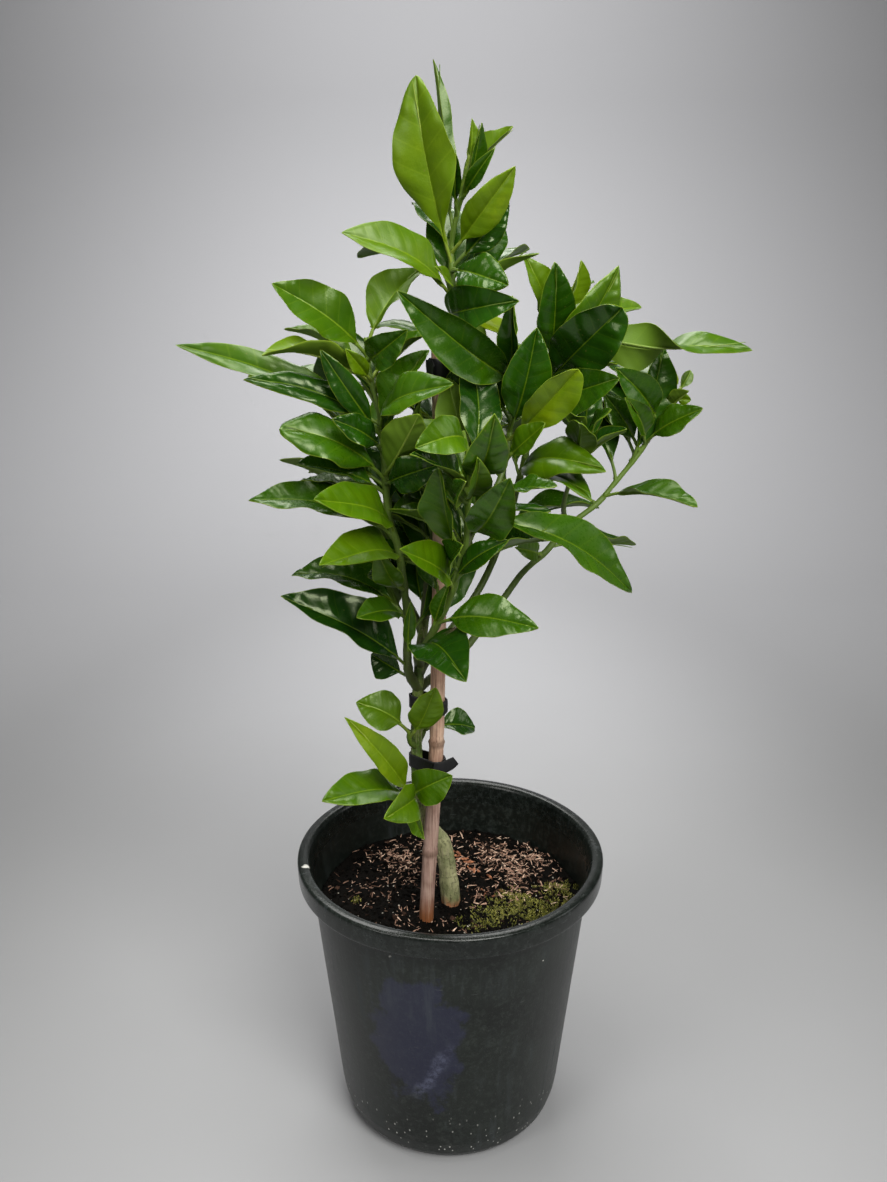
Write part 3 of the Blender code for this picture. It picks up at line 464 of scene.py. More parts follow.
def leaf_solid(leaf, root, swell=0.0, with_stalk=True):
    """The part's own coarse leaf, by which the leaves are kept clear of each other."""
    length, stalk, at = leaf_line(leaf, root)
    rows = ROWS if length > SHORT_LEAF else SHORT_ROWS
    rows = TWIST_ROWS if abs(leaf.twist) > TURNED_OVER else rows
    stations = [(stalk + (1.0 - stalk) * row, row) for row in rows]
    if with_stalk:
        stations = [(0.0, None), (stalk, None)] + stations
    top = []
    under = []
    lines = []
    fold = math.radians(leaf.fold)
    for share, row in stations:
        middle, side, normal = at(share)
        half = swell + (PETIOLE_WIDTH / 2 if row is None else leaf.width / 2 * outline(row))
        depth = 2 * swell + (PETIOLE_DEPTH if row is None else BLADE)
        spots = (0.0,) if share == 1.0 else (COLUMNS[0], COLUMNS[-1]) if row is None else COLUMNS
        lines.append(list(range(len(top), len(top) + len(spots))))
        for spot in spots:
            rise = 0.0
            reach = spot * half
            if row is not None:
                reach *= math.cos(fold)
                wave = WAVE_HEIGHT * half * 2 * math.sin(2 * math.pi * WAVES * share + 1.7 * spot)
                rise = abs(spot) * half * math.sin(fold) + wave * spot ** 2
            place = middle + side * reach + normal * rise
            top.append(place + normal * (depth / 2))
            under.append(place - normal * (depth / 2))
    low = len(top)
    faces = []
    for here, ahead in zip(lines, lines[1:]):
        for a, b, c in strip(here, ahead):
            faces += [(a, b, c), (a + low, c + low, b + low)]
        for a, b in ((here[0], ahead[0]), (ahead[-1], here[-1])):
            faces += [(a, b, b + low), (a, b + low, a + low)]
    start = lines[0]
    for a, b in zip(start, start[1:]):
        faces += [(a, a + low, b + low), (a, b + low, b)]
    return top + under, faces


def search_tree(solid):
    points, faces = solid
    return BVHTree.FromPolygons([Vector(p) for p in points], faces)


def nudged(leaf, nudge):
    """The leaf with its tip moved, its blade rolled and its width and length scaled."""
    shift, roll, size = nudge
    tip = tuple(place + move for place, move in zip(leaf.tip, shift))
    facing = (leaf.facing[0], leaf.facing[1] + roll)
    return leaf._replace(tip=tip, facing=facing, width=leaf.width * size)


def nudges():
    """Moves to try for a leaf that meets another, the least visible from the front coming first."""
    found = []
    for depth in (0, -5, 5, -10, 10, -16, 16, -23, 23, -31, 31):
        for reach in (0, 5, 10, 16, 24):
            for step in range(8 if reach else 1):
                turn = math.radians(45 * step)
                for roll in (0, -14, 14, -28, 28):
                    for size in (1.0, 0.85):
                        shift = (reach * math.cos(turn), depth, reach * math.sin(turn))
                        cost = abs(depth) + 3.0 * reach + 0.5 * abs(roll) + 110.0 * (1.0 - size)
                        found.append((cost, (shift, roll, size)))
    found.sort(key=lambda pair: pair[0])
    return [nudge for _, nudge in found]


def grown_leaves(route, growth, generator, tones):
    """Leaves by rule, spread round their stem by the golden angle."""
    leaves = []
    for i in range(growth.count):
        height = growth.low + (growth.high - growth.low) * (i + 0.5) / growth.count
        root = at_height(route, height)
        fan = (i * GOLDEN_ANGLE) % growth.spread - growth.spread / 2
        turn = math.radians(growth.azimuth + fan + generator.uniform(-GROWTH_STRAY, GROWTH_STRAY))
        rise = math.radians(generator.uniform(*GROWTH_RISE))
        length = generator.uniform(*GROWTH_LENGTH)
        away = Vector((math.sin(turn), -math.cos(turn), 0.0))
        tip = root + length * (math.cos(rise) * away + math.sin(rise) * Vector((0, 0, 1)))
        facing = (math.degrees(turn), 90 - 0.5 * math.degrees(rise))
        width = length * generator.uniform(*GROWTH_WIDTH)
        arch = generator.uniform(*GROWTH_ARCH)
        tone = tones.uniform(*GROWN_TONE)
        leaves.append(Leaf(height, tuple(tip), width, facing, arch, GROWTH_FOLD, tone))
    return leaves


def place_leaves(routes, fixed):
    """Every leaf bent clear of the stems, the fixed pieces and the leaves before it."""
    generator = np.random.default_rng(GROWTH_SEED)
    tones = np.random.default_rng(LEAF_SEED)
    obstacles = [(None, search_tree(solid)) for solid in fixed]
    for name, route in routes.items():
        obstacles.append((name, search_tree(tube(*route, STEM_SIDES))))
    placed = {name: [] for name in STEMS}
    orders = [(name, leaf, False) for name, stem in STEMS.items() for leaf in stem.leaves]
    for name, stem in STEMS.items():
        for growth in stem.growth:
            grown = grown_leaves(routes[name][0], growth, generator, tones)
            orders += [(name, leaf, True) for leaf in grown]
    moves = nudges()
    for name, leaf, by_rule in orders:
        root = at_height(routes[name][0], leaf.root)
        for move in moves:
            bent = nudged(leaf, move)
            blade = search_tree(leaf_solid(bent, root, swell=CLEARANCE, with_stalk=False))
            if any(blade.overlap(tree) for _, tree in obstacles):
                continue
            whole = search_tree(leaf_solid(bent, root))
            if any(whole.overlap(tree) for owner, tree in obstacles if owner != name):
                continue
            obstacles.append((name, whole))
            placed[name].append((bent, root, by_rule))
            break
    return placed


def pot_profile():
    top = POT_HEIGHT
    under_band = top - RIM_BAND
    inner_lip = RIM_RADIUS - LIP_WIDTH
    inside_top = WALL_TOP_RADIUS - WALL
    inside_foot = WALL_FOOT_RADIUS - WALL
    return (
        (0.0, 0.0), (FOOT_RADIUS, 0.0), (FOOT_RADIUS + 4.5, 1.6), (FOOT_RADIUS + 9.0, 7.5),
        (WALL_FOOT_RADIUS - 1.2, 17.0), (WALL_FOOT_RADIUS, FOOT_HEIGHT),
        (WALL_TOP_RADIUS, under_band), (RIM_RADIUS - 3.5, under_band + 0.4),
        (RIM_RADIUS - 1.0, under_band + 2.2), (RIM_RADIUS, under_band + 6.0),
        (RIM_RADIUS - 0.4, top - 2.6), (RIM_RADIUS - 2.2, top - 0.6), (RIM_RADIUS - 4.2, top),
        (inner_lip + 1.4, top - 0.5), (inner_lip, top - 2.4), (inside_top + 0.6, under_band - 1.0),
        (inside_foot, FOOT_HEIGHT), (FOOT_RADIUS + 6.0, 8.5), (FOOT_RADIUS, FLOOR), (0.0, FLOOR))


def soil_height(x, y):
    """Gentle lumps, highest round the plant, a little lower along the wall."""
    away = math.hypot(x, y) / WALL_TOP_RADIUS
    lumps = math.sin(0.09 * x + 1.0) * math.cos(0.11 * y) + 0.6 * math.sin(0.21 * x - 0.17 * y)
    return SOIL_TOP + SOIL_RELIEF * (0.45 * lumps - 1.2 * away ** 4)


def soil_radius(height):
    """The soil's radius, a hair inside the pot's wall."""
    straight = (height - FOOT_HEIGHT) / (POT_HEIGHT - RIM_BAND - 1.0 - FOOT_HEIGHT)
    inside_foot = WALL_FOOT_RADIUS - WALL
    return inside_foot + (WALL_TOP_RADIUS - WALL + 0.6 - inside_foot) * straight - GAP - 0.2


def stake_route():
    route = smooth_route(STAKE_ROUTE, 10.0)
    heights = [route[0].z, SOIL_TOP - 8.0]
    for node in STAKE_NODES:
        heights += [node - 3.5, node, node + 3.5]
    heights += [route[-1].z]
    return [at_height(route, height) for height in heights]


def stake_radii(route):
    low, high = route[0].z, route[-1].z
    radii = []
    for place in route:
        share = (place.z - low) / (high - low)
        swell = STAKE_NODE_SWELL if round(place.z) in STAKE_NODES else 0.0
        radii.append(STAKE_RADIUS[0] + (STAKE_RADIUS[1] - STAKE_RADIUS[0]) * share + swell)
    return radii


def tie_ring(middle_height, strip_height, stake, stem, count):
    """The inside of a strip wound once round stake and stem: places and outward directions."""
    low, high = middle_height - strip_height / 2, middle_height + strip_height / 2
    ends = []
    for route, radii in (stem, stake):
        drift = (at_height(route, high) - at_height(route, low)).xy.length / 2
        ends.append((at_height(route, middle_height),
                     radius_at(route, radii, middle_height) + drift + TIE_SLACK))
    apart = ends[1][0] - ends[0][0]
    course = math.atan2(apart.y, apart.x)
    ring = []
    for (centre, radius), start in zip(ends, (90.0, -90.0)):
        for i in range(count):
            turn = course + math.radians(start + 180.0 * i / (count - 1))
            away = Vector((math.cos(turn), math.sin(turn), 0.0))
            ring.append((centre + away * radius, away))
    return ring


def tie_solid(middle_height, strip_height, stake, stem):
    """The part's own coarse tie."""
    low, high = middle_height - strip_height / 2, middle_height + strip_height / 2
    points = []
    ring = tie_ring(middle_height, strip_height, stake, stem, TIE_POINTS)
    for place, away in ring:
        outer = place + away * TIE_THICKNESS
        points += [(place.x, place.y, low), (outer.x, outer.y, low),
                   (outer.x, outer.y, high), (place.x, place.y, high)]
    faces = []
    for i in range(len(ring)):
        a, b = 4 * i, 4 * ((i + 1) % len(ring))
        for k in range(4):
            j = (k + 1) % 4
            faces.append((a + k, b + k, b + j, a + j))
    return points, faces


def stem_shape(stem):
    route = smooth_route(stem.route, STEM_STEP)
    return route, taper(len(route), stem.radii)


def grid_quads(rows, columns, wrap=False):
    """Quads between the rows of a grid of points, closed round where wrap is set."""
    index = np.arange(rows * columns).reshape(rows, columns)
    left = index if wrap else index[:, :-1]
    right = np.roll(index, -1, axis=1) if wrap else index[:, 1:]
    return np.stack([left[:-1], right[:-1], right[1:], left[1:]], axis=-1).reshape(-1, 4)


def end_fans(rings, sides):
    """Triangles that close both ends of a tube, round two points that follow its last ring."""
    ring = np.arange(sides)
    last = ring + (rings - 1) * sides
    return np.concatenate([np.stack([np.full(sides, rings * sides), np.roll(ring, -1), ring], 1),
                           np.stack([np.full(sides, rings * sides + 1), last, np.roll(last, -1)], 1)])


def looks(count, tone, row=0.0):
    """The nine values of each of so many points that have only a tone and a row."""
    values = np.zeros((count, 9))
    values[:, 6], values[:, 8] = tone, row
    return values


def put_in_scene(name, data):
    obj = bpy.data.objects.new(name, data)
    bpy.context.scene.collection.objects.link(obj)
    return obj


class Shape:
    """Points, faces, material numbers and nine values a point, gathered for one mesh."""

    def __init__(self):
        self.points, self.values, self.count = [], [], 0
        self.faces = {4: [], 3: []}
        self.slots = {4: [], 3: []}

    def add(self, points, quads=(), triangles=(), slot=0, values=0.0):
        points = np.asarray(points, float).reshape(-1, 3)
        for corners, faces in ((4, quads), (3, triangles)):
            if len(faces):
                faces = np.asarray(faces, int).reshape(-1, corners) + self.count
                self.faces[corners].append(faces)
                self.slots[corners].append(np.full(len(faces), slot))
        self.points.append(points)
        self.values.append(np.broadcast_to(np.asarray(values, float), (len(points), 9)))
        self.count += len(points)

    def object(self, name, materials, sharp_angle=50.0):
        """The gathered shape as an object of the scene, with its values as three attributes."""
        empty = {corners: np.zeros((0, corners), int) for corners in (4, 3)}
        parts = [np.concatenate([empty[c], *self.faces[c]]) for c in (4, 3)]
        slots = np.concatenate([np.zeros(0, int), *self.slots[4], *self.slots[3]])
        starts = [np.arange(len(parts[0])) * 4, parts[0].size + np.arange(len(parts[1])) * 3]
        mesh = bpy.data.meshes.new(name)
        mesh.vertices.add(self.count)
        places = (np.concatenate(self.points) * MM).astype(np.float32)
        mesh.vertices.foreach_set("co", places.ravel())
        mesh.loops.add(parts[0].size + parts[1].size)
        corners = np.concatenate([part.ravel() for part in parts]).astype(np.int32)
        mesh.loops.foreach_set("vertex_index", corners)
        mesh.polygons.add(len(slots))
        mesh.polygons.foreach_set("loop_start", np.concatenate(starts).astype(np.int32))
        mesh.polygons.foreach_set("material_index", slots.astype(np.int32))
        values = np.concatenate(self.values).astype(np.float32)
        for i, attribute in enumerate(("at", "part", "look")):
            layer = mesh.attributes.new(attribute, "FLOAT_VECTOR", "POINT")
            layer.data.foreach_set("vector", values[:, 3 * i:3 * i + 3].ravel())
        mesh.update(calc_edges=True)
        mesh.validate()
        for mat in materials:
            mesh.materials.append(mat)
        mesh.shade_smooth()
        mesh.set_sharp_from_angle(angle=math.radians(sharp_angle))
        return put_in_scene(name, mesh)


def dress(obj, slot, *nodes):
    """Fixes a piece to the plant's one body and hides the solids it stands for."""
    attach(obj, "root")
    if nodes:
        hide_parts(*nodes)
    return obj


# ---------------------------------------------------------------- materials

def rgb(red, green, blue):
    """A linear colour from sRGB values of 0 to 255."""
    given = [value / 255 for value in (red, green, blue)]
    return (*[c / 12.92 if c <= 0.04045 else ((c + 0.055) / 1.055) ** 2.4 for c in given], 1.0)


class Finish:
    """One material, and short calls that add nodes to it."""

    def __init__(self, name):
        self.mat = bpy.data.materials.new(name)
        self.mat.use_nodes = True
        self.nodes = self.mat.node_tree.nodes
        self.shader = self.nodes["Principled BSDF"]

    def put(self, socket, value):
        if isinstance(value, bpy.types.NodeSocket):
            self.mat.node_tree.links.new(value, socket)
        else:
            socket.default_value = value

    def math(self, operation, *values):
        node = self.nodes.new("ShaderNodeMath")
        node.operation = operation
        for socket, value in zip(node.inputs, values):
            self.put(socket, value)
        return node.outputs[0]

    def mix(self, share, low, high):
        node = self.nodes.new("ShaderNodeMix")
        node.data_type = "RGBA"
        for socket, value in zip((node.inputs[0], node.inputs[6], node.inputs[7]), (share, low, high)):
            self.put(socket, value)
        return node.outputs[2]

    def step(self, value, start, end, low=0.0, high=1.0):
        """From low to high, smoothly, as the value goes from start to end."""
        node = self.nodes.new("ShaderNodeMapRange")
        node.interpolation_type = "SMOOTHSTEP"
        if start > end:
            start, end, low, high = end, start, high, low
        for socket, given in zip(node.inputs, (value, start, end, low, high)):
            self.put(socket, given)
        return node.outputs[0]

    def ramp(self, value, stops):
        node = self.nodes.new("ShaderNodeValToRGB")
        points = node.color_ramp.elements
        while len(points) < len(stops):
            points.new(0.5)
        for point, (place, colour) in zip(points, stops):
            point.position = place
            point.color = colour
        self.put(node.inputs[0], value)
        return node.outputs[0]

    def split(self, vector):
        node = self.nodes.new("ShaderNodeSeparateXYZ")
        self.put(node.inputs[0], vector)
        return node.outputs

    def attribute(self, name):
        node = self.nodes.new("ShaderNodeAttribute")
        node.attribute_name = name
        return node.outputs["Vector"]

    def place(self, scale=(1.0, 1.0, 1.0)):
        """The place on the object in metres, stretched by a scale."""
        here = self.nodes.new("ShaderNodeTexCoord").outputs["Object"]
        return self.stretch(here, scale)

    def stretch(self, vector, scale):
        node = self.nodes.new("ShaderNodeVectorMath")
        node.operation = "MULTIPLY"
        self.put(node.inputs[0], vector)
        self.put(node.inputs[1], scale)
        return node.outputs[0]

    def noise(self, vector, scale, detail=3.0, rough=0.5):
        node = self.nodes.new("ShaderNodeTexNoise")
        self.put(node.inputs["Vector"], vector)
        for socket, value in (("Scale", scale), ("Detail", detail), ("Roughness", rough)):
            node.inputs[socket].default_value = value
        return node.outputs[0]

    def cells(self, vector, scale, feature="F1"):
        node = self.nodes.new("ShaderNodeTexVoronoi")
        node.feature = feature
        self.put(node.inputs["Vector"], vector)
        node.inputs["Scale"].default_value = scale
        return node.outputs["Distance"]

    def squared(self, value):
        return self.times(value, value)

    def times(self, one, other):
        return self.math("MULTIPLY", one, other)

    def less(self, one, other):
        return self.math("SUBTRACT", one, other)

    def more(self, value, factor, added):
        """The value times a factor, plus what is added."""
        return self.math("MULTIPLY_ADD", value, factor, added)

    def sway(self, noise_, width, value):
        """The value moved up and down by a noise that lies about one half."""
        return self.more(self.less(noise_, 0.5), width, value)

    def tint(self, colour, mask, strength, other):
        """The colour, mixed with another where the mask is, as strongly as given."""
        return self.mix(self.times(mask, strength), colour, other)

    def apart(self, vector, spot):
        """How far a place is from a spot, in metres."""
        node = self.nodes.new("ShaderNodeVectorMath")
        node.operation = "DISTANCE"
        self.put(node.inputs[0], vector)
        self.put(node.inputs[1], spot)
        return node.outputs["Value"]

    def bump(self, height, distance, strength=1.0):
        """A bump of so many metres, over the one before it."""
        node = self.nodes.new("ShaderNodeBump")
        node.inputs["Strength"].default_value = strength
        node.inputs["Distance"].default_value = distance
        self.put(node.inputs["Height"], height)
        before = self.shader.inputs["Normal"]
        if before.links:
            self.put(node.inputs["Normal"], before.links[0].from_socket)
        self.put(before, node.outputs[0])

    def done(self, colour, roughness, **plain):
        self.put(self.shader.inputs["Base Color"], colour)
        self.put(self.shader.inputs["Roughness"], roughness)
        for name, value in plain.items():
            self.shader.inputs[name.replace("_", " ").title().replace("Ior", "IOR")].default_value = value
        return self.mat


LEAF_TONES = ((0.0, rgb(16, 46, 8)), (0.2, rgb(32, 70, 4)), (0.4, rgb(52, 88, 2)),
              (0.6, rgb(74, 106, 0)), (0.8, rgb(96, 124, 0)), (1.0, rgb(142, 160, 2)))
LEAF_PALE = rgb(130, 156, 30)
# The colour of the pale line along each margin: painted rim light, a highlight where light catches the leaf's
# edge.
LEAF_EDGE_RIM_LIGHT = rgb(146, 166, 44)
LEAF_UNDER = rgb(98, 126, 30)


def leaf_finish():
    """A waxy leaf: tone by age, pale midrib and veins, a pale margin painted as rim light, and a paler,
    duller underside.
    """
    f = Finish("leaf_blade")
    at = f.attribute("at")
    out, edge, phase = f.split(f.attribute("part"))
    tone, under, row = f.split(f.attribute("look"))
    broad = f.noise(at, 0.05, 2.0)
    fine = f.noise(at, 0.5, 3.0)
    varied = f.sway(broad, 0.34, tone)
    varied = f.sway(fine, 0.10, varied)
    colour = f.ramp(varied, LEAF_TONES)
    beside = f.math("ABSOLUTE", f.less(f.math("FRACT", phase), 0.5))
    side_vein = f.step(beside, 0.43, 0.495)
    width = f.more(f.less(1.0, row), 0.40, 0.10)
    midrib = f.step(f.less(out, width), 0.22, -0.1)
    young = f.step(tone, 0.1, 0.9, 0.04, 0.20)
    colour = f.mix(f.times(side_vein, young), colour, LEAF_PALE)
    colour = f.mix(f.times(midrib, f.step(tone, 0.0, 0.6, 0.30, 0.50)), colour, LEAF_PALE)
    colour = f.tint(colour, under, 0.60, LEAF_UNDER)
    # A pale line along every margin: painted rim light, a highlight where light catches the leaf's edge.
    colour = f.tint(colour, f.step(edge, 0.40, 0.05), 0.4, LEAF_EDGE_RIM_LIGHT)
    spots = f.step(f.cells(at, 0.17), 0.10, 0.05)
    colour = f.tint(colour, spots, 0.25, rgb(120, 104, 60))
    f.bump(broad, 0.0016, 0.5)
    f.bump(f.cells(at, 0.75, "DISTANCE_TO_EDGE"), 0.00012, 0.5)
    shine = f.more(fine, 0.16, f.step(tone, 0.0, 0.9, 0.14, 0.34))
    rough = f.math("ADD", shine, f.times(under, 0.28))
    return f.done(colour, rough, specular_ior_level=0.46, specular_tint=(0.90, 1.0, 0.66, 1.0))


def twig_finish():
    """Green bark that pales towards a shoot's end and on the leaf stalks."""
    f = Finish("twig")
    tone, _, row = f.split(f.attribute("look"))
    place = f.place()
    grain = f.noise(f.place((1.0, 1.0, 0.25)), 900.0, 3.0)
    varied = f.sway(grain, 0.35, tone)
    colour = f.ramp(varied, ((0.0, rgb(70, 66, 44)), (0.3, rgb(72, 92, 30)), (0.6, rgb(98, 126, 34)),
                             (1.0, rgb(150, 168, 60))))
    flecks = f.step(f.cells(place, 420.0), 0.16, 0.08)
    colour = f.tint(colour, flecks, 0.5, rgb(150, 146, 112))
    f.bump(grain, 0.0003, 0.6)
    return f.done(colour, f.more(grain, 0.3, 0.38))


POT_HAZE = ((-0.020, 0.105), (0.028, 0.050))      # x and z of its middle, half its width and height
POT_SMEAR = ((0.001, 0.103), (-0.022, 0.056))     # x and z of both ends
# White spots, place and size in metres: scuffs on the wall and band below the rim, and, first, a painted
# highlight on the left of the rim's top, where its edge catches the light.
POT_SCUFFS_AND_GLINT = (((-0.0925, -0.0215, 0.1905), 0.0040), ((-0.037, -0.0835, 0.1675), 0.0024),
              ((0.035, -0.0845, 0.1675), 0.0018), ((0.057, -0.068, 0.1540), 0.0012),
              ((-0.009, -0.0995, 0.1780), 0.0012))


def pot_finish():
    """Black nursery plastic: mottled, hazed violet in front, streaked, scuffed below its rim, with a painted
    highlight on the left of its rim, and dusty at its foot.
    """
    f = Finish("pot_plastic")
    place = f.place()
    x, y, height = f.split(place)
    cloud = f.noise(place, 14.0, 5.0, 0.62)
    streak = f.noise(f.place((1.0, 1.0, 0.07)), 150.0, 4.0, 0.6)
    fine = f.noise(place, 700.0, 3.0)
    mottle = f.noise(place, 260.0, 5.0, 0.75)
    blotch = f.noise(place, 60.0, 4.0, 0.6)
    colour = f.mix(f.step(cloud, 0.36, 0.66), rgb(13, 17, 14), rgb(25, 30, 26))
    below_rim = f.step(height, 0.1755, 0.1775, 1.0, 0.35)
    mottled = f.times(f.step(mottle, 0.46, 0.68), f.times(below_rim, 0.45))
    colour = f.mix(mottled, colour, rgb(54, 60, 56))
    front = f.step(y, -0.02, -0.05)
    (mid_x, mid_z), (half_x, half_z) = POT_HAZE
    reach = f.math("SQRT", f.math("ADD", f.squared(f.math("DIVIDE", f.less(x, mid_x), half_x)),
                                  f.squared(f.math("DIVIDE", f.less(height, mid_z), half_z))))
    reach = f.sway(blotch, 1.6, reach)
    haze = f.times(f.step(reach, 1.10, 0.85), front)
    colour = f.tint(colour, haze, 0.45, rgb(44, 45, 76))
    (start_x, start_z), (end_x, end_z) = POT_SMEAR
    length = math.hypot(end_x - start_x, end_z - start_z)
    lean_x, lean_z = (end_x - start_x) / length, (end_z - start_z) / length
    right, above = f.less(x, start_x), f.less(height, start_z)
    along = f.more(right, lean_x, f.times(above, lean_z))
    aside = f.more(right, -lean_z, f.times(above, lean_x))
    aside = f.math("ABSOLUTE", f.sway(blotch, 0.012, aside))
    smear = f.times(f.step(aside, 0.0062, 0.0010), f.step(along, -0.006, 0.016))
    smear = f.times(smear, f.step(along, length + 0.006, length - 0.014))
    smear = f.times(f.times(smear, front), f.step(mottle, 0.34, 0.66))
    colour = f.tint(colour, smear, 0.55, rgb(96, 100, 124))
    dusty = f.times(f.step(streak, 0.50, 0.74), f.step(cloud, 0.44, 0.62))
    colour = f.tint(colour, dusty, 0.30, rgb(78, 84, 88))
    low = f.step(height, 0.050, 0.008)
    splash = f.times(f.step(f.noise(place, 90.0, 5.0, 0.8), 0.50, 0.64), low)
    colour = f.tint(colour, splash, 0.22, rgb(80, 82, 78))
    specks = f.step(f.cells(f.place((1.0, 1.0, 0.6)), 260.0), 0.17, 0.10)
    colour = f.mix(f.times(specks, f.more(low, 0.85, 0.015)), colour,
                   rgb(200, 200, 194))
    scratches = f.step(f.noise(f.place((1.0, 1.0, 14.0)), 60.0, 4.0, 0.7), 0.66, 0.72)
    colour = f.tint(colour, scratches, 0.25, rgb(120, 124, 124))
    on_rim = f.times(f.step(height, 0.1755, 0.1775), f.step(mottle, 0.40, 0.66))
    colour = f.tint(colour, on_rim, 0.10, rgb(78, 84, 84))
    # White spots: scuffs below the rim, and a painted highlight on the rim's left.
    for spot, size in POT_SCUFFS_AND_GLINT:
        away = f.sway(mottle, size, f.apart(place, spot))
        colour = f.mix(f.step(away, size * 0.7, size * 0.4), colour, rgb(216, 214, 208))
    f.bump(fine, 0.00010, 0.5)
    f.bump(mottle, 0.00008, 0.3)
    f.bump(streak, 0.0003, 0.3)
    rough = f.math("ADD", f.more(mottle, 0.26, 0.26), f.times(dusty, 0.20))
    rough = f.times(rough, f.step(height, 0.1755, 0.1775, 1.0, 0.62))
    return f.done(colour, rough, specular_ior_level=0.36)


def soil_finish(name):
    """Potting mix and its chips: value 0 is black peat, 1 is pale pinkish bark."""
    f = Finish(name)
    kind, seed, _ = f.split(f.attribute("look"))
    place = f.place()
    grain = f.noise(place, 900.0, 4.0, 0.7)
    lines = f.noise(f.stretch(f.attribute("at"), (0.25, 2.4, 2.4)), 1.0, 3.0, 0.6)
    value = f.sway(grain, 0.35, kind)
    value = f.sway(lines, 0.35, value)
    colour = f.ramp(value, ((0.0, rgb(3, 3, 2)), (0.3, rgb(17, 13, 10)), (0.5, rgb(78, 56, 46)),
                            (0.75, rgb(180, 142, 122)), (1.0, rgb(238, 206, 182))))
    f.bump(grain, 0.0006, 0.8)
    f.bump(lines, 0.0004, 0.6)
    return f.done(colour, f.more(grain, 0.2, 0.74), specular_ior_level=0.08)


def moss_finish():
    """Moss: every little leaf has its own tone between olive, yellow-green and straw."""
    f = Finish("moss")
    tone = f.split(f.attribute("look"))[0]
    grain = f.noise(f.place(), 420.0, 4.0, 0.65)
    value = f.sway(grain, 0.5, tone)
    colour = f.ramp(value, ((0.0, rgb(30, 34, 8)), (0.45, rgb(84, 86, 20)), (0.75, rgb(146, 144, 46)),
                            (1.0, rgb(222, 214, 140))))
    return f.done(colour, 0.7)


def plain_grain(name, dark, light, scale, rough, depth=0.0003):
    """A finish between two colours with a fine grain."""
    f = Finish(name)
    grain = f.noise(f.place(), scale, 4.0, 0.65)
    f.bump(grain, depth, 0.7)
    return f.done(f.mix(f.step(grain, 0.35, 0.68), dark, light), f.more(grain, 0.2, rough))


def bark_finish():
    """Brown and rough at the foot, greenish grey with pale streaks and lenticels above."""
    f = Finish("bark")
    place = f.place()
    height = f.split(place)[2]
    cloud = f.noise(place, 70.0, 4.0, 0.6)
    streak = f.noise(f.place((1.0, 1.0, 0.12)), 650.0, 4.0, 0.65)
    lower = f.mix(f.step(cloud, 0.38, 0.62), rgb(146, 92, 58), rgb(184, 128, 92))
    middle = f.mix(f.step(cloud, 0.38, 0.64), rgb(128, 132, 90), rgb(176, 174, 130))
    upper = f.mix(f.step(cloud, 0.40, 0.60), rgb(66, 92, 24), rgb(112, 134, 52))
    colour = f.mix(f.step(f.more(cloud, -0.02, height), 0.147, 0.156), lower, middle)
    colour = f.mix(f.step(height, 0.212, 0.255), colour, upper)
    colour = f.tint(colour, f.step(streak, 0.48, 0.70), 0.6, rgb(156, 148, 122))
    dark = f.times(f.step(streak, 0.47, 0.30), 0.7)
    colour = f.mix(dark, colour, rgb(46, 40, 28))
    spots = f.times(f.step(f.noise(place, 480.0, 4.0, 0.7), 0.53, 0.62), 0.55)
    colour = f.mix(spots, colour, rgb(70, 68, 44))
    pores = f.step(f.cells(f.place((1.0, 1.0, 2.2)), 330.0), 0.20, 0.10)
    colour = f.tint(colour, pores, 0.55, rgb(176, 164, 132))
    f.bump(streak, 0.0012, 0.9)
    f.bump(cloud, 0.0020, 0.6)
    f.bump(pores, 0.0003, 0.6)
    return f.done(colour, f.more(streak, 0.3, 0.5))


def cane_finish():
    """Weathered bamboo: pinkish grey-brown, darker at its rings, orange-brown near the soil."""
    f = Finish("bamboo")
    place = f.place()
    height = f.split(place)[2]
    grain = f.noise(f.place((1.0, 1.0, 0.035)), 1100.0, 4.0, 0.6)
    cloud = f.noise(place, 45.0, 4.0, 0.6)
    grey = f.mix(f.step(cloud, 0.36, 0.64), rgb(140, 108, 98), rgb(180, 148, 136))
    fresh = f.mix(f.step(cloud, 0.36, 0.64), rgb(172, 134, 114), rgb(212, 178, 154))
    colour = f.mix(f.step(height, 0.225, 0.285), grey, fresh)
    colour = f.mix(f.step(height, 0.180, 0.158), colour, rgb(134, 80, 44))
    colour = f.tint(colour, f.step(grain, 0.50, 0.30), 0.75, rgb(86, 62, 46))
    colour = f.tint(colour, f.step(grain, 0.54, 0.72), 0.5, rgb(204, 186, 160))
    for node in STAKE_NODES:
        near = f.step(f.math("ABSOLUTE", f.less(height, node * MM)), 0.0042, 0.0008)
        colour = f.tint(colour, near, 0.6, rgb(88, 64, 48))
    f.bump(grain, 0.0004, 0.7)
    return f.done(colour, f.more(grain, 0.25, 0.42))


# ---------------------------------------------------------------- pieces

def mirrored(columns):
    return np.array([-c for c in columns[:0:-1]] + list(columns))


def fine_outline(along, blunt, wedge):
    """The leaf's outline, rounded off at its far end where it is blunt and drawn out to a wedge at its
    base."""
    body = math.sin(math.pi * along ** (0.86 + 0.34 * blunt + 0.14 * wedge))
    power = 0.78 - 0.36 * blunt * along + wedge * (1.0 - along) ** 2
    return max(body, 0.0) ** power * (1.0 - 0.30 * (1.0 - blunt) * along ** 3)


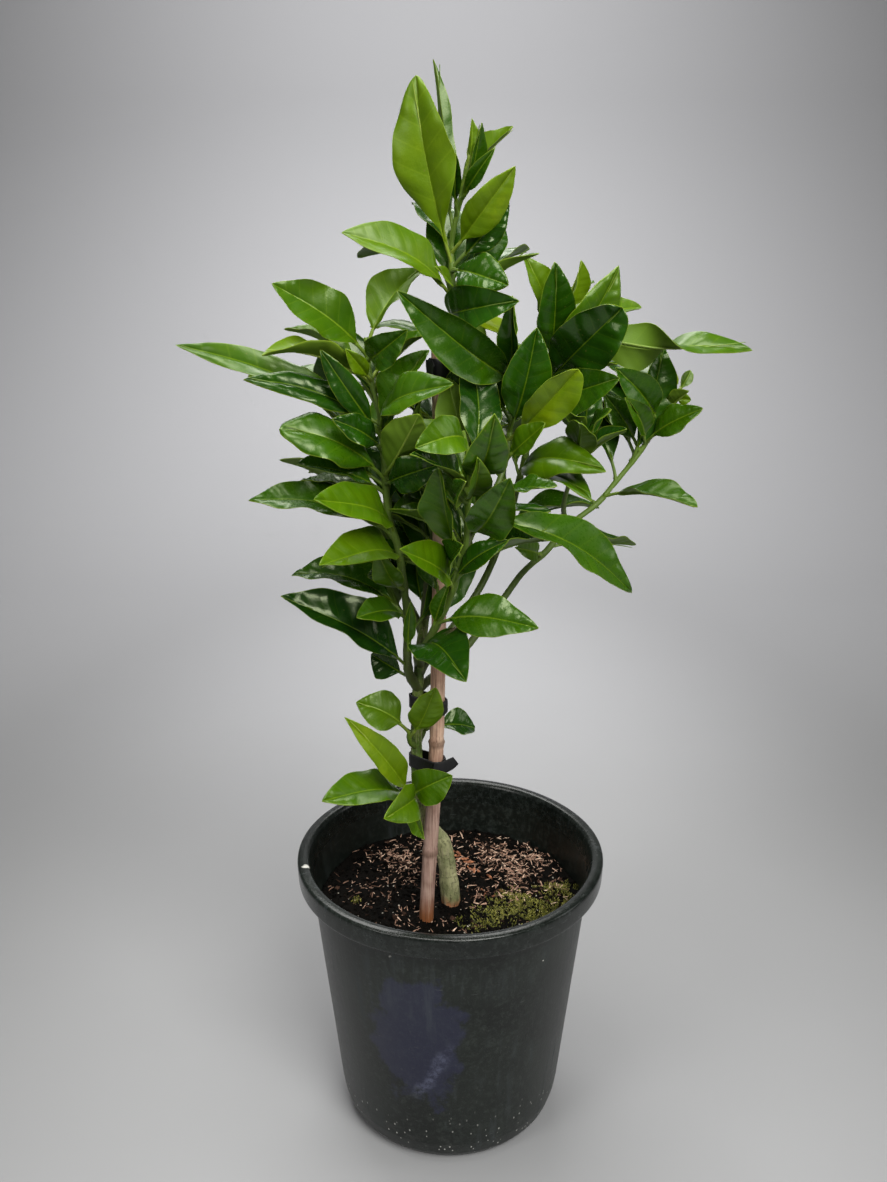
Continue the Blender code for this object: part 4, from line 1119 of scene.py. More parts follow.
def add_tube(shape, route, radii, sides, values=0.0, slot=0):
    """A tube with as many rings as the route has points. A radius may be a list round the ring."""
    rings = []
    for place, radius, (side, over) in zip(route, radii, ring_frames(route)):
        turn = 2.0 * np.pi * np.arange(sides) / sides
        radius = np.broadcast_to(np.asarray(radius, float), (sides,))
        rings.append(np.array(place) + np.outer(radius * np.cos(turn), side)
                     + np.outer(radius * np.sin(turn), over))
    count = len(rings)
    points = np.concatenate(rings + [[route[0], route[-1]]])
    values = np.asarray(values, float)
    if values.ndim == 2:
        values = np.concatenate([np.repeat(values, sides, axis=0), values[:1], values[-1:]])
    shape.add(points, grid_quads(count, sides, wrap=True), end_fans(count, sides), slot, values)


def add_leaf(shape, leaf, root, by_rule, number):
    """A fine leaf: a blade with folded, cupped halves between its veins, and a midrib that starts
    as its stalk."""
    generator = np.random.default_rng(LEAF_SEED + number)
    cup, ruffle = generator.uniform(0.04, 0.30), generator.uniform(0.01, 0.04)
    shift = generator.uniform(0, 6.28)
    veins = generator.integers(7, 10)
    sickle, curl = generator.uniform(-0.028, 0.028), generator.uniform(-0.07, 0.035)
    roll, lean = generator.uniform(-0.22, 0.34), math.radians(generator.uniform(-20, 20))
    length, stalk, at = leaf_line(leaf, root)
    t = np.linspace(0.0, 1.0, GROWN_ROWS if by_rule else FINE_ROWS)
    rows = 0.6 * t + 0.4 * (0.5 - 0.5 * np.cos(np.pi * t))
    shares = stalk + (1.0 - stalk) * rows
    frames = [np.array(at(share)) for share in shares]
    middle, side, normal = (np.array([at_row[k] for at_row in frames])[:, None] for k in range(3))
    spots = mirrored(GROWN_COLUMNS if by_rule else FINE_COLUMNS)
    wedge = leaf.wedge * generator.uniform(0.5, 1.5)
    blunt = min(leaf.blunt + generator.uniform(0.0, 0.35), 1.0)
    half = leaf.width / 2 * np.array([fine_outline(row, blunt, wedge) for row in rows])
    half = np.maximum(half, np.linspace(0.9, 0.12, len(rows)))[:, None]
    x, out, share = spots[None], np.abs(spots)[None], shares[:, None]
    fold = math.radians(leaf.fold)
    phase = veins * (rows[:, None] - 0.75 * out * half / length)
    lift = (np.sqrt(x ** 2 + 0.01) - 0.1) / (math.sqrt(1.01) - 0.1) * half * math.sin(fold)
    lift = lift + WAVE_HEIGHT * half * 2 * np.sin(2 * np.pi * WAVES * share + 1.7 * x) * x ** 2
    lift += ruffle * half * 2 * np.sin(2 * np.pi * 3.7 * share + shift + 2.1 * (x > 0)) * out ** 4
    lift += cup * half * (out - out ** 2) + roll * half * out ** 4
    swell = np.sqrt(np.sin(np.pi * phase) ** 2 + 0.06) - 0.24
    swell = swell * (0.6 + 0.4 * np.sin(2.3 * phase + shift + 1.3 * np.sign(x)))
    quilt = QUILT * generator.uniform(0.6, 1.2) * (2.1 - 1.6 * min(leaf.tone, 0.7))
    lift += quilt * leaf.width * swell * np.sin(np.pi * out) ** 0.8
    lift -= 0.4 * np.exp(-(x * half / 0.8) ** 2) * np.minimum(1.0, half / 2.0)
    lift += curl * length * np.clip((share - 0.62) / 0.38, 0.0, 1.0) ** 2
    reach = x * half * math.cos(fold) * (1.0 + 0.012 * np.sin(41.0 * share + shift))
    turn = lean * (share - 0.25)
    across = reach * np.cos(turn) - lift * np.sin(turn) + sickle * length * np.sin(np.pi * share)
    lift = reach * np.sin(turn) + lift * np.cos(turn)
    centre = middle + side * across[..., None] + normal * lift[..., None]
    thick = normal * (0.34 * (1.0 - 0.45 * out ** 2))[..., None]
    count, width = len(rows), len(spots)
    low = count * width
    index = np.arange(low).reshape(count, width)
    above = grid_quads(count, width)
    edges = []
    for line in (index[:, -1], index[::-1, 0], index[-1, ::-1], index[0]):
        edges.append(np.stack([line[:-1], line[:-1] + low, line[1:] + low, line[1:]], 1))
    flat = np.ones((count, width))
    common = [flat * share * length, x * half, flat * 40.0 * generator.random(), out * half,
              (1.0 - out) * half, phase, flat * leaf.tone]
    values = [np.stack([*common, flat * under, flat * rows[:, None]], -1).reshape(-1, 9)
              for under in (0.0, 1.0)]
    shape.add(np.concatenate([(centre + thick).reshape(-1, 3), (centre - thick).reshape(-1, 3)]),
              np.concatenate([above, above[:, ::-1] + low, *edges]), slot=0, values=np.concatenate(values))

    shares = np.concatenate([np.linspace(0.0, stalk, 5), np.linspace(stalk, 0.97, 9 if by_rule else 16)[1:]])
    radii = np.interp(shares, [0, 0.25 * stalk, stalk, stalk + 0.06, 0.97], [1.5, 1.0, 1.0, 0.95, 0.2])
    sunk = np.clip((shares - stalk) / 0.06, 0.0, 1.0) * (radii + 0.3)
    route = [Vector(place) - Vector(up) * float(drop)
             for (place, _, up), drop in zip(map(at, shares), sunk)]
    young = min(leaf.tone * 0.7 + 0.35, 1.0)
    add_tube(shape, route, radii, 8, looks(1, young, 0.5)[0], slot=1)


def add_bud(shape, root, ahead, tone):
    """A small bud where a leaf leaves its stem."""
    ahead = ahead.normalized()
    route = [root + ahead * reach for reach in (0.8, 1.6, 2.6, 3.5, 4.0)]
    add_tube(shape, route, [0.8, 1.25, 1.2, 0.7, 0.15], 7, looks(1, tone, 0.5)[0], slot=1)


def make_foliage(routes, placed, leaf_mat, twig_mat):
    """One piece for each leafy stem, with the stem itself."""
    number = 0
    for name, stem in STEMS.items():
        shape = Shape()
        route = smooth_route(stem.route, FINE_STEM_STEP)
        radii = np.array(taper(len(route), stem.radii))
        heights = np.array([place.z for place in route])
        for _, root, _ in placed[name]:
            radii += 0.45 * np.exp(-((heights - root.z) / 2.2) ** 2) * radii / radii.max()
        if stem.parent:
            radii += 0.8 * np.exp(-np.arange(len(route)) / 2.0)
        tones = np.linspace(0.18 if name != "crown" else 0.1, 0.62, len(route))
        values = looks(len(route), tones, 1.0)
        ridges = np.cos(3 * 2 * np.pi * np.arange(FINE_STEM_SIDES) / FINE_STEM_SIDES)
        radii = radii[:, None] * (1.0 + 0.05 * ridges)
        add_tube(shape, route, radii, FINE_STEM_SIDES, values, slot=1)
        for leaf, root, by_rule in placed[name]:
            add_leaf(shape, leaf, root, by_rule, number)
            away = (Vector(leaf.tip) - root).normalized()
            add_bud(shape, root, away + Vector((0, 0, 0.9)), 0.5)
            number += 1
        obj = shape.object(name + "_leaves", [leaf_mat, twig_mat], 60.0)
        dress(obj, "leaf", name)


def eased(profile, cut):
    """The profile with every corner cut off a little, so that it turns in two short steps."""
    places = [Vector((*p, 0.0)) for p in profile]
    result = [places[0]]
    for before, here, after in zip(places, places[1:], places[2:]):
        for other in (before, after):
            apart = other - here
            result.append(here + apart.normalized() * min(cut, 0.3 * apart.length))
    return [(p.x, p.y) for p in result + [places[-1]]]


def split_long(profile, most):
    """The profile with points added so that none is further than most from the next."""
    result = [profile[0]]
    for (r0, z0), (r1, z1) in zip(profile, profile[1:]):
        pieces = max(1, math.ceil(math.hypot(r1 - r0, z1 - z0) / most))
        result += [(r0 + (r1 - r0) * i / pieces, z0 + (z1 - z0) * i / pieces) for i in range(1, pieces + 1)]
    return result


def moulded_profile():
    """The pot's profile with the crisp edges of its rim band."""
    top, under = POT_HEIGHT, POT_HEIGHT - RIM_BAND
    plain = pot_profile()
    wall = next(i for i, (radius, _) in enumerate(plain) if radius == WALL_TOP_RADIUS)
    lip = plain.index((RIM_RADIUS - 4.2, top))
    band = [(RIM_RADIUS - 2.4, under + 0.1), (RIM_RADIUS - 0.9, under + 0.3), (RIM_RADIUS - 0.5, under + 1.6),
            (RIM_RADIUS, top - 3.0), (RIM_RADIUS - 0.2, top - 1.3), (RIM_RADIUS - 1.2, top - 0.5)]
    return [*plain[:wall + 1], *band, *plain[lip:]]


def make_pot(mat):
    profile = split_long(eased(eased(moulded_profile(), EDGE_CUT), EDGE_CUT / 3), 9.0)
    points, faces = lathe([(max(r, 0.0), z) for r, z in profile], FINE_POT_SIDES)
    shape = Shape()
    bent = []
    for x, y, z in points:
        turn = math.atan2(y, x)
        share = min(max(z / POT_HEIGHT, 0.0), 1.0)
        push = 0.30 * math.sin(2 * turn + 0.6) + 0.16 * math.sin(5 * turn + 1.1)
        push += 0.22 * noise.noise(Vector((x * 0.02, y * 0.02, z * 0.02)))
        radius = math.hypot(x, y)
        scale = 1.0 + push * share * min(radius, 30.0) / 30.0 / radius if radius > 1.0 else 1.0
        bent.append((x * scale, y * scale, z))
    shape.add(bent, [f for f in faces if len(f) == 4], [f for f in faces if len(f) == 3])
    pot = shape.object("pot_moulded", [mat], 32.0)
    drills = Shape()
    for i in range(DRAIN_HOLES):
        turn = 2.0 * math.pi * (i + 0.5) / DRAIN_HOLES
        middle = Vector((DRAIN_CIRCLE * math.cos(turn), DRAIN_CIRCLE * math.sin(turn), 0.0))
        add_tube(drills, [middle - Vector((0, 0, 5)), middle + Vector((0, 0, 2 * FLOOR))],
                 [DRAIN_RADIUS] * 2, 28)
    drill = drills.object("drills", [mat])
    cut = pot.modifiers.new("drain", "BOOLEAN")
    cut.object, cut.operation, cut.solver = drill, "DIFFERENCE", "EXACT"
    bpy.context.view_layer.objects.active = pot
    bpy.ops.object.modifier_apply(modifier=cut.name)
    bpy.data.objects.remove(drill, do_unlink=True)
    dress(pot, "pot_plastic", "pot")


def bed_height(x, y):
    """The fine surface of the potting mix: the part's lumps with crumbs on them."""
    here = Vector((x, y, 0.0))
    crumbs = noise.turbulence(here * 0.10, 4, False) - 0.55
    grit = noise.noise(here * 0.9) * 0.5 + noise.noise(here * 2.3) * 0.3
    ease = min(1.0, max(0.0, (WALL_TOP_RADIUS - 3.0 - math.hypot(x, y)) / 6.0))
    return soil_height(x, y) + (2.2 * crumbs + 0.9 * grit) * ease - 0.6


def make_bed(mat):
    """The plug of potting mix."""
    rim = soil_radius(SOIL_TOP - 4.0)
    outer = [(FOOT_RADIUS - 0.6, FLOOR + GAP), (FOOT_RADIUS + 5.2, 8.8),
             (soil_radius(FOOT_HEIGHT), FOOT_HEIGHT + 0.5), (soil_radius(90.0), 90.0), (rim, SOIL_TOP - 4.0)]
    turns = 2.0 * np.pi * np.arange(BED_SECTORS) / BED_SECTORS
    rings = [[(r * math.cos(a), r * math.sin(a), z) for a in turns] for r, z in outer]
    for ring in range(1, BED_RINGS):
        r = rim * (1.0 - (ring / BED_RINGS) ** 1.1)
        rings.append([(r * math.cos(a), r * math.sin(a), bed_height(r * math.cos(a), r * math.sin(a)))
                      for a in turns])
    points = np.array(rings).reshape(-1, 3)
    count = len(rings)
    points = np.concatenate([points, [(0, 0, FLOOR + GAP), (0, 0, bed_height(0.0, 0.0))]])
    shape = Shape()
    values = looks(len(points), [0.13 + 0.10 * noise.noise(Vector(p) * 0.05) for p in points])
    shape.add(points, grid_quads(count, BED_SECTORS, wrap=True), end_fans(count, BED_SECTORS), values=values)
    dress(shape.object("soil_bed", [mat], 80.0), "potting_mix", "soil")


ICO = (1.0 + math.sqrt(5.0)) / 2.0
ICO_POINTS = np.array([(-1, ICO, 0), (1, ICO, 0), (-1, -ICO, 0), (1, -ICO, 0), (0, -1, ICO), (0, 1, ICO),
                       (0, -1, -ICO), (0, 1, -ICO), (ICO, 0, -1), (ICO, 0, 1), (-ICO, 0, -1), (-ICO, 0, 1)])
ICO_POINTS = ICO_POINTS / np.linalg.norm(ICO_POINTS[0])
ICO_FACES = ((0, 11, 5), (0, 5, 1), (0, 1, 7), (0, 7, 10), (0, 10, 11), (1, 5, 9), (5, 11, 4), (11, 10, 2),
             (10, 7, 6), (7, 1, 8), (3, 9, 4), (3, 4, 2), (3, 2, 6), (3, 6, 8), (3, 8, 9), (4, 9, 5),
             (2, 4, 11), (6, 2, 10), (8, 6, 7), (9, 8, 1))


def turned(generator, tilt):
    """A random turn about +Z after a random lean of at most tilt degrees."""
    lean = math.radians(generator.uniform(-tilt, tilt))
    roll = math.radians(generator.uniform(-tilt, tilt))
    spin = generator.uniform(0, 2 * math.pi)
    leant = Matrix.Rotation(spin, 3, "Z") @ Matrix.Rotation(lean, 3, "X")
    return np.array(leant @ Matrix.Rotation(roll, 3, "Y"))


def add_crumb(shape, generator, x, y, size, kind, flat=0.75):
    """A rough lump of mix."""
    points = ICO_POINTS * generator.uniform(0.7, 1.25, (12, 1)) * size
    points = points * (generator.uniform(0.8, 1.3), generator.uniform(0.8, 1.2), flat)
    points = points @ turned(generator, 40).T + (x, y, bed_height(x, y) + 0.25 * size)
    shape.add(points, (), ICO_FACES, values=[*generator.uniform(0, 50, 3), 0, 0, 0, kind, 0, 0])


def add_sliver(shape, generator, x, y, length, width, thick, kind, tilt=14.0, slot=0):
    """A splinter of bark: a bent, tapered bar with jagged ends and sides."""
    stations = np.linspace(-0.5, 0.5, 5)
    widths = np.array([0.35, 0.85, 1.0, 0.9, 0.3]) * generator.uniform(0.75, 1.15, 5)
    corners = np.array([(-0.5, -0.5), (0.5, -0.5), (0.6, 0.3), (0.0, 0.6), (-0.6, 0.3)])
    bend = generator.uniform(-0.06, 0.10)
    rings = []
    for station, wide in zip(stations, widths):
        across = corners * (width * wide, thick * (0.6 + 0.4 * wide))
        across = across + generator.uniform(-0.08, 0.08, (5, 2)) * (width, thick)
        ring = np.stack([np.full(5, station * length) + generator.uniform(-0.04, 0.04, 5) * length,
                         across[:, 0], across[:, 1] + bend * length * (1 - 4 * station ** 2)], 1)
        rings.append(ring)
    points = np.concatenate(rings)
    flat_values = np.concatenate([points + generator.uniform(0, 60, 3), np.zeros((25, 6))], 1)
    flat_values[:, 6] = kind
    points = points @ turned(generator, tilt).T + (x, y, bed_height(x, y) + 0.35 * thick + 0.3)
    ends = [(0, 1, 2), (0, 2, 3), (0, 3, 4), (20, 22, 21), (20, 23, 22), (20, 24, 23)]
    shape.add(points, grid_quads(5, 5, wrap=True)[:, ::-1], ends, slot, flat_values)


CRUMBS = 4500
LOOSE_SLIVERS = 330
PALE_GRAINS = 170
DRIFT_DENSITY = 1.35
MOSS_LEAVES = 8              # of each tuft
CHIP_SEED, MOSS_SEED = 11, 12

# Where fibres and slivers of bark lie thick on the mix: centre, spread, how many.
BARK_DRIFTS = (((-40, 50), 20, 190), ((-30, 24), 16, 110), ((36, 50), 22, 280), ((62, 48), 18, 130),
               ((46, 24), 18, 210), ((12, 34), 12, 90), ((44, 2), 14, 90), ((23, -2), 10, 50),
               ((-52, 4), 20, 40), ((-10, 62), 20, 90), ((70, 6), 10, 40), ((-20, -30), 26, 30))
ORANGE_CHIPS = ((2, 52, 9), (5, 47, 8), (6, 49, 10), (9, 42, 9), (12, 39, 10), (14, 34, 8), (17, 31, 9),
                (20, 27, 8), (24, 1, 6), (29, -2, 5), (34, 2, 6), (21, 5, 5), (27, 20, 6))
MOSS_SPOTS = (((46, -10), 14, 85), ((74, 6), 9, 60), ((32, -22), 14, 80), ((55, -28), 18, 75),
              ((72, -14), 16, 100), ((18, -30), 13, 45), ((-62, -6), 4, 8), ((40, -2), 9, 30))


def make_chips(mat, orange, pale):
    """Crumbs, fibres and slivers of bark, and pale grit on top of the mix."""
    generator = np.random.default_rng(CHIP_SEED)
    inside = WALL_TOP_RADIUS - 5.0

    def spot():
        reach, turn = inside * math.sqrt(generator.random()), generator.uniform(0, 2 * math.pi)
        return reach * math.cos(turn), reach * math.sin(turn)

    crumbs = Shape()
    for _ in range(CRUMBS):
        size = 0.45 + 1.6 * generator.random() ** 3.0
        x, y = spot()
        kind = generator.uniform(0.0, 0.26) + 0.2 * (generator.random() < 0.1)
        add_crumb(crumbs, generator, x, y, size, kind)
    dress(crumbs.object("soil_crumbs", [mat], 30.0), "potting_mix")

    bark = Shape()
    places = [spot() for _ in range(LOOSE_SLIVERS)]
    for (x, y), spread, count in BARK_DRIFTS:
        for _ in range(int(DRIFT_DENSITY * count)):
            places.append((x + generator.normal(0, spread / 2), y + generator.normal(0, spread / 2)))
    for x, y in places:
        if math.hypot(x, y) > inside:
            continue
        length = 1.6 + 5.8 * generator.random() ** 2.2
        width = 0.32 + 0.10 * length * generator.random()
        kind = float(np.clip(generator.normal(0.68, 0.20), 0.2, 1.0))
        add_sliver(bark, generator, x, y, length, width, width * generator.uniform(0.4, 0.8), kind, tilt=32.0)
    for x, y, length in ORANGE_CHIPS:
        add_sliver(bark, generator, x, y, length, length * 0.2, 1.2, 0.6, tilt=20.0, slot=1)
    dress(bark.object("bark_slivers", [mat, orange], 25.0), "potting_mix")

    grit = Shape()
    for _ in range(PALE_GRAINS):
        add_crumb(grit, generator, *spot(), generator.uniform(0.25, 0.7), 0.9)
    dress(grit.object("pale_grit", [pale], 30.0), "potting_mix")


def make_moss(mat):
    """Low cushions of moss: many short pointed leaves on small domes."""
    generator = np.random.default_rng(MOSS_SEED)
    shape = Shape()
    for (x, y), spread, count in MOSS_SPOTS:
        for _ in range(count):
            px, py = x + generator.normal(0, spread / 2), y + generator.normal(0, spread / 2)
            if math.hypot(px, py) > WALL_TOP_RADIUS - 4.0:
                continue
            base = Vector((px, py, bed_height(px, py)))
            for _ in range(MOSS_LEAVES):
                away = Vector((generator.normal(0, 0.7), generator.normal(0, 0.7), 1.0)).normalized()
                tall = generator.uniform(1.2, 3.0)
                foot = base + Vector((generator.normal(0, 1.3), generator.normal(0, 1.3), -0.3))
                route = [foot, foot + away * tall * 0.55, foot + away * tall]
                tone = generator.uniform(0.1, 1.0)
                values = looks(3, (0.05, 0.15 + 0.55 * tone, 0.3 + 0.8 * tone))
                add_tube(shape, route, [0.32, 0.30, 0.05], 4, values)
    dress(shape.object("moss", [mat], 30.0), "potting_mix")


def knobbly(route, radii, sides, seed, grain, depth):
    """Radii round each ring of a tube, roughened as bark is."""
    result = []
    for place, radius, (side, over) in zip(route, radii, ring_frames(route)):
        ring = []
        for k in range(sides):
            turn = 2.0 * math.pi * k / sides
            spot = Vector((math.cos(turn) * grain, math.sin(turn) * grain, place.z * 0.05))
            spot = spot + Vector((seed,) * 3)
            rough = noise.noise(spot) + 0.5 * noise.noise(spot * 2.7 + Vector((0, 0, place.z * 0.1)))
            ring.append(radius * (1.0 + depth * rough))
        result.append(ring)
    return result


# Swellings of the stem (height, size, spread) and scars of old buds (height, degrees round, size).
SWELLINGS = ((212, 0.5, 5), (203, 0.45, 3), (186, 0.35, 2.5), (172, 0.4, 3),
             (239, 0.3, 2), (264, 0.3, 2), (287, 0.25, 2), (333, 0.3, 2.5))
BUD_SCARS = ((190, 200, 1.7), (177, 320, 1.5), (206, 95, 2.0),
             (226, 250, 1.2), (246, 300, 1.1), (282, 240, 1.2))
TRUNK_END = (-15.4, -10.2, 359)     # where the bark runs on into the crown
TRUNK_END_RADIUS = 2.75


def make_trunk(mat):
    """The rootstock, the swelling of its graft, old bud scars, and the stem."""
    route = smooth_route([*TRUNK_ROUTE, TRUNK_END], 2.0)
    heights = [place.z for place in route]
    given = [place[2] for place in (*TRUNK_ROUTE, TRUNK_END)]
    radii = np.interp(heights, given, [*TRUNK_RADII, TRUNK_END_RADIUS])
    for height, swell, spread in SWELLINGS:
        radii = radii + swell * np.exp(-((np.array(heights) - height) / spread) ** 2)
    shape = Shape()
    add_tube(shape, route, knobbly(route, radii, 48, 3.0, 1.8, 0.085), 48)
    for height, turn, size in BUD_SCARS:
        place = at_height(route, height)
        away = Vector((math.cos(math.radians(turn)), math.sin(math.radians(turn)), 0.35)).normalized()
        start = radius_at(route, radii, height) - 0.9
        steps = [place + away * (start + reach * size) for reach in (0.0, 0.5, 0.9, 1.1)]
        add_tube(shape, steps, [size * 1.25, size * 1.05, size * 0.6, size * 0.12], 14)
    dress(shape.object("trunk_bark", [mat], 60.0), "bark", "trunk")


def make_stake(mat, end_mat):
    """The cane: a ring at every node, flat facets between, and a sawn top with a hollow."""
    route = smooth_route(STAKE_ROUTE, 2.0)
    heights = np.array([place.z for place in route])
    low, high = heights[0], heights[-1]
    radii = STAKE_RADIUS[0] + (STAKE_RADIUS[1] - STAKE_RADIUS[0]) * (heights - low) / (high - low)
    for node in STAKE_NODES:
        radii = radii + STAKE_NODE_SWELL * np.exp(-((heights - node) / 1.6) ** 2)
        radii = radii - 0.35 * np.exp(-((heights - node - 3.4) / 1.1) ** 2)
    shape = Shape()
    last = route[-1]
    ahead = (route[-1] - route[-2]).normalized()
    route = route + [last + ahead * 0.5]
    radii = np.append(radii, radii[-1] - 0.35)
    add_tube(shape, route, knobbly(route, radii, 40, 9.0, 2.2, 0.035), 40)
    top = route[-1]
    ring = [top + ahead * lift for lift in (-0.3, 0.12, -0.1, -1.1)]
    add_tube(shape, ring, [radii[-1] * 0.96, radii[-1] * 0.9, 1.9, 1.5], 40, slot=1)
    dress(shape.object("stake_cane", [mat, end_mat], 45.0), "bamboo", "stake")


LAP_STATIONS = 8
LAP_SIDES = 12
LAP_HALVES = (0.92,) * 6 + (0.84, 0.70)     # at each station, of half the strip's height
# Of each tie's loose end: how far it reaches, how far it rises, which way round it runs, where it starts.
LAPS = ((10.5, 4.0, 1, (0.35, -0.94, 0)), (4.0, -0.5, -1, None), (5.0, -1.0, 1, None))


def make_ties(mat, stake, trunk, crown):
    """Black strips with rounded edges, slack here and there, each with its lapped end."""
    for number, (name, height, strip_height) in enumerate(TIES):
        held = crown if height > trunk[0][-1].z else trunk
        ring = tie_ring(height, strip_height, stake, held, FINE_TIE_POINTS)
        section = 16
        rings = []
        for i, (place, away) in enumerate(ring):
            wobble = 0.35 * math.sin(0.21 * i + number) + 0.15 * math.sin(0.53 * i)
            turn = 2 * np.pi * (np.arange(section) + 0.5) / section
            flat = np.sign(np.cos(turn)) * np.abs(np.cos(turn)) ** 0.5 * TIE_THICKNESS / 2
            tall = np.sign(np.sin(turn)) * np.abs(np.sin(turn)) ** 0.35 * strip_height / 2
            bow = 0.25 * (1 - (2 * tall / strip_height) ** 2) * math.sin(0.4 * i)
            middle = np.array(place) + np.array(away) * (TIE_THICKNESS / 2 + 0.1 + max(0.0, wobble) * 0.6)
            rings.append(middle + np.outer(flat + bow, away) + np.outer(tall * 0.97 + wobble, (0, 0, 1)))
        shape = Shape()
        count = len(rings)
        index = np.arange(count * section).reshape(count, section)
        wrapped = np.concatenate([index, index[:1]])
        beside = np.roll(wrapped, -1, 1)
        quads = np.stack([wrapped[:-1], beside[:-1], beside[1:], wrapped[1:]], -1)
        shape.add(np.concatenate(rings), quads.reshape(-1, 4))
        add_lap(shape, ring, number, strip_height)
        dress(shape.object(name + "_strip", [mat], 40.0), "tie_plastic", name)


def add_lap(shape, ring, number, strip_height):
    """The strip's loose end, which stands off the front of the ring."""
    reach, rise, way, looks = LAPS[number]
    start, away = ring[(len(ring) * 3) // 4 - 6]
    if looks:
        start, away = min(ring, key=lambda spot: (spot[1] - Vector(looks)).length)
    along = Vector((0, 0, 1)).cross(away) * way
    route = [start + away * (TIE_THICKNESS + 0.4 + 0.9 * t ** 2) + along * (reach * t)
             + Vector((0, 0, rise * t ** 2)) for t in np.linspace(-0.4, 1.0, LAP_STATIONS)]
    rings = []
    for i, place in enumerate(route):
        ahead = (route[min(i + 1, LAP_STATIONS - 1)] - route[max(i - 1, 0)]).normalized()
        up = (Vector((0, 0, 1)) - ahead * ahead.z).normalized()
        across = ahead.cross(up)
        half = strip_height / 2 * LAP_HALVES[i]
        turn = 2 * np.pi * (np.arange(LAP_SIDES) + 0.5) / LAP_SIDES
        rings.append(np.array(place) + np.outer(np.cos(turn) * 0.5, across)
                     + np.outer(np.sign(np.sin(turn)) * np.abs(np.sin(turn)) ** 0.5 * half, up))
    points = np.concatenate([*rings, [route[0], route[-1]]])
    shape.add(points, grid_quads(LAP_STATIONS, LAP_SIDES, wrap=True)[:, ::-1],
              end_fans(LAP_STATIONS, LAP_SIDES)[:, [0, 2, 1]])


# ---------------------------------------------------------------- studio

def make_stage():
    """A pale floor that curves up into a backdrop, with a painted pool of light round the plant: the paper is
    painted darker further from it.
    """
    profile = [(-2.2, 0.0), (1.1, 0.0)]
    for i in range(1, 17):
        turn = math.pi / 2 * i / 16
        profile.append((1.1 + 0.8 * math.sin(turn), 0.8 - 0.8 * math.cos(turn)))
    profile.append((1.9, 3.2))
    points = [(x, y, z) for y, z in profile for x in (-3.0, 3.0)]
    faces = [(2 * i, 2 * i + 1, 2 * i + 3, 2 * i + 2) for i in range(len(profile) - 1)]
    mesh = bpy.data.meshes.new("studio_floor")
    mesh.from_pydata(points, [], faces)
    mesh.update()
    mesh.shade_smooth()
    f = Finish("studio_paper")
    place = f.place()
    tint = f.noise(place, 6.0, 2.0)
    pale = f.mix(tint, rgb(152, 152, 155), rgb(156, 156, 159))
    # Painted pool of light: the paper's colour goes from its pale tone near the plant to a darker grey
    # further off.
    far = f.apart(f.stretch(place, (1.0, 0.45, 0.8)), (0.0, 0.0, 0.0))
    mesh.materials.append(f.done(f.mix(f.step(far, 0.14, 0.60), pale, rgb(116, 116, 118)), 0.9))
    floor = put_in_scene("studio_floor", mesh)


# Name, place, aim, size, watts, colour and, where it is narrow, spread in degrees.
LIGHTS = (
    ("key_panel", (0.50, -1.15, 1.40), (0.0, 0.0, 0.42), (0.8, 0.9), 29.0, (1.0, 1.0, 0.95)),
    ("sky_panel", (-0.15, -0.10, 2.0), (0.0, 0.0, 0.40), (0.9, 0.8), 21.0, (1.0, 1.0, 0.95)),
    ("front_panel", (-1.4, -1.3, 1.3), (0.0, 0.0, 0.35), (0.7, 0.9), 10.0, (1.0, 0.99, 0.95)),
    ("side_panel", (1.9, -0.1, 0.9), (0.0, 0.0, 0.30), (0.5, 1.2), 5.0, (1.0, 1.0, 0.98)),
    ("paper_panel", (0.0, 0.55, 2.3), (-0.05, 1.75, 0.35), (0.4, 0.3), 24.0, (1.0, 1.0, 1.0), 75),
    ("back_panel", (-0.2, 1.0, 1.6), (0.0, 0.0, 0.45), (1.2, 0.5), 14.0, (1.0, 1.0, 0.97)),
)
CAMERA_PLACE = (-0.00434, -0.663, 0.5942)
CAMERA_DIP = 18.66           # degrees below level
CAMERA_LENS = 35.0
CAMERA_SENSOR = 36.0


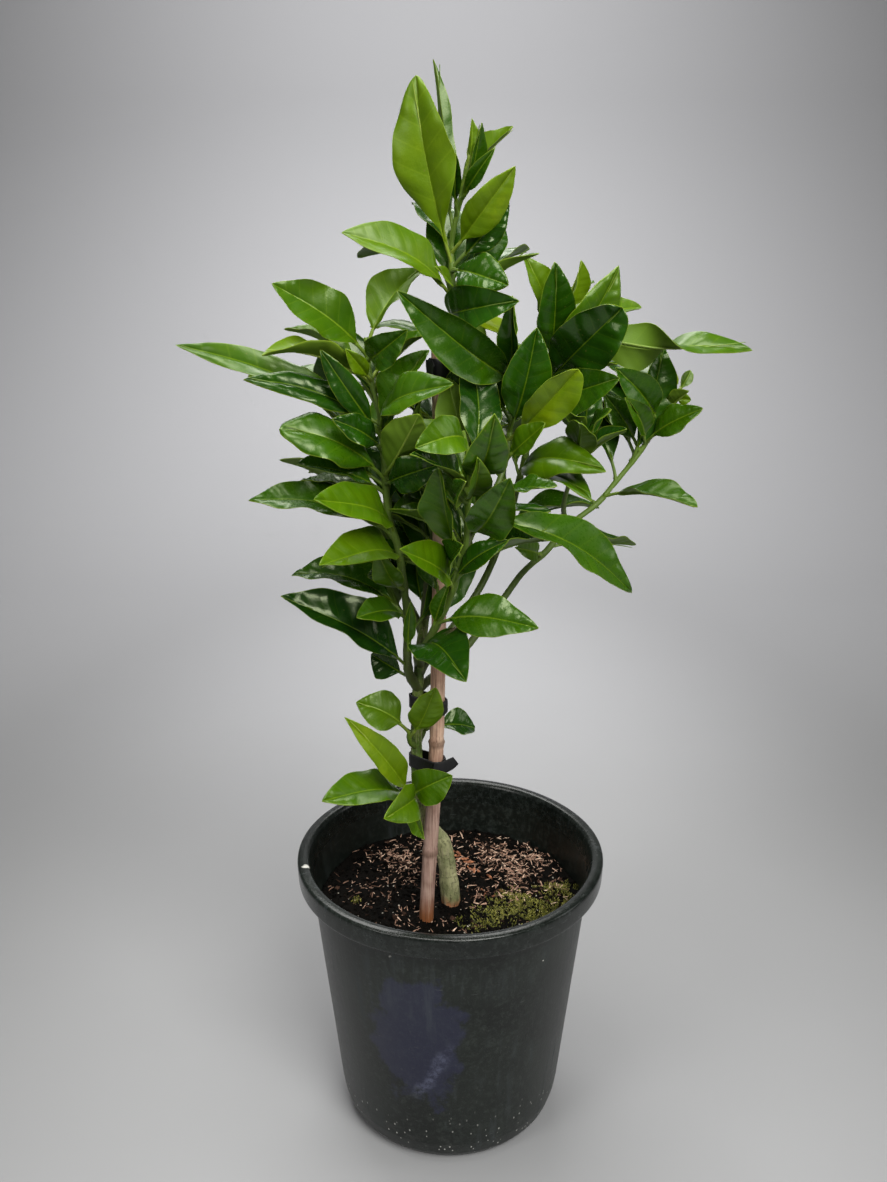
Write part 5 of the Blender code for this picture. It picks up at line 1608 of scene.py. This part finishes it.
def add_light(name, place, aim, size, power, colour, spread=180):
    lamp = bpy.data.lights.new(name, "AREA")
    lamp.shape = "RECTANGLE"
    lamp.size, lamp.size_y = size
    lamp.energy = power
    lamp.color = colour
    lamp.spread = math.radians(spread)
    obj = put_in_scene(name, lamp)
    obj.location = place
    obj.rotation_euler = (Vector(aim) - Vector(place)).to_track_quat("-Z", "Y").to_euler()


def make_studio():
    make_stage()
    for light in LIGHTS:
        add_light(*light)
    world = bpy.data.worlds.new("studio_air")
    world.use_nodes = True
    air = world.node_tree.nodes["Background"]
    air.inputs[0].default_value = (0.92, 0.93, 0.92, 1.0)
    air.inputs[1].default_value = 0.08
    bpy.context.scene.world = world
    bpy.context.scene.view_settings.view_transform = "Standard"

    camera = bpy.data.cameras.new("camera")
    camera.lens = CAMERA_LENS
    camera.sensor_width = CAMERA_SENSOR
    eye = put_in_scene("camera", camera)
    eye.location = CAMERA_PLACE
    eye.rotation_euler = (math.radians(90.0 - CAMERA_DIP), 0.0, 0.0)
    bpy.context.scene.camera = eye


def build():
    trunk = ([Vector(p) for p in TRUNK_ROUTE], list(TRUNK_RADII))
    stake_line = stake_route()
    stake = (stake_line, stake_radii(stake_line))
    routes = {name: stem_shape(stem) for name, stem in STEMS.items()}
    fixed = [tube(*trunk, TRUNK_SIDES), tube(*stake, STAKE_SIDES), lathe(pot_profile(), POT_SIDES)]
    for name, height, strip_height in TIES:
        held = routes["crown"] if height > trunk[0][-1].z else trunk
        fixed.append(tie_solid(height, strip_height, stake, held))
    placed = place_leaves(routes, fixed)

    make_foliage(routes, placed, leaf_finish(), twig_finish())
    make_pot(pot_finish())
    mix = soil_finish("potting_mix")
    make_bed(mix)
    make_chips(mix, plain_grain("orange_bark", rgb(104, 58, 34), rgb(192, 124, 84), 420.0, 0.6),
               plain_grain("pale_grit", rgb(150, 142, 128), rgb(214, 208, 196), 500.0, 0.7))
    make_moss(moss_finish())
    make_trunk(bark_finish())
    make_stake(cane_finish(), plain_grain("cane_end", rgb(150, 116, 76), rgb(206, 176, 128), 900.0, 0.6))
    make_ties(plain_grain("tie_plastic", rgb(6, 6, 7), rgb(17, 17, 19), 300.0, 0.40, 0.0002),
              stake, trunk, routes["crown"])
    make_studio()


build()
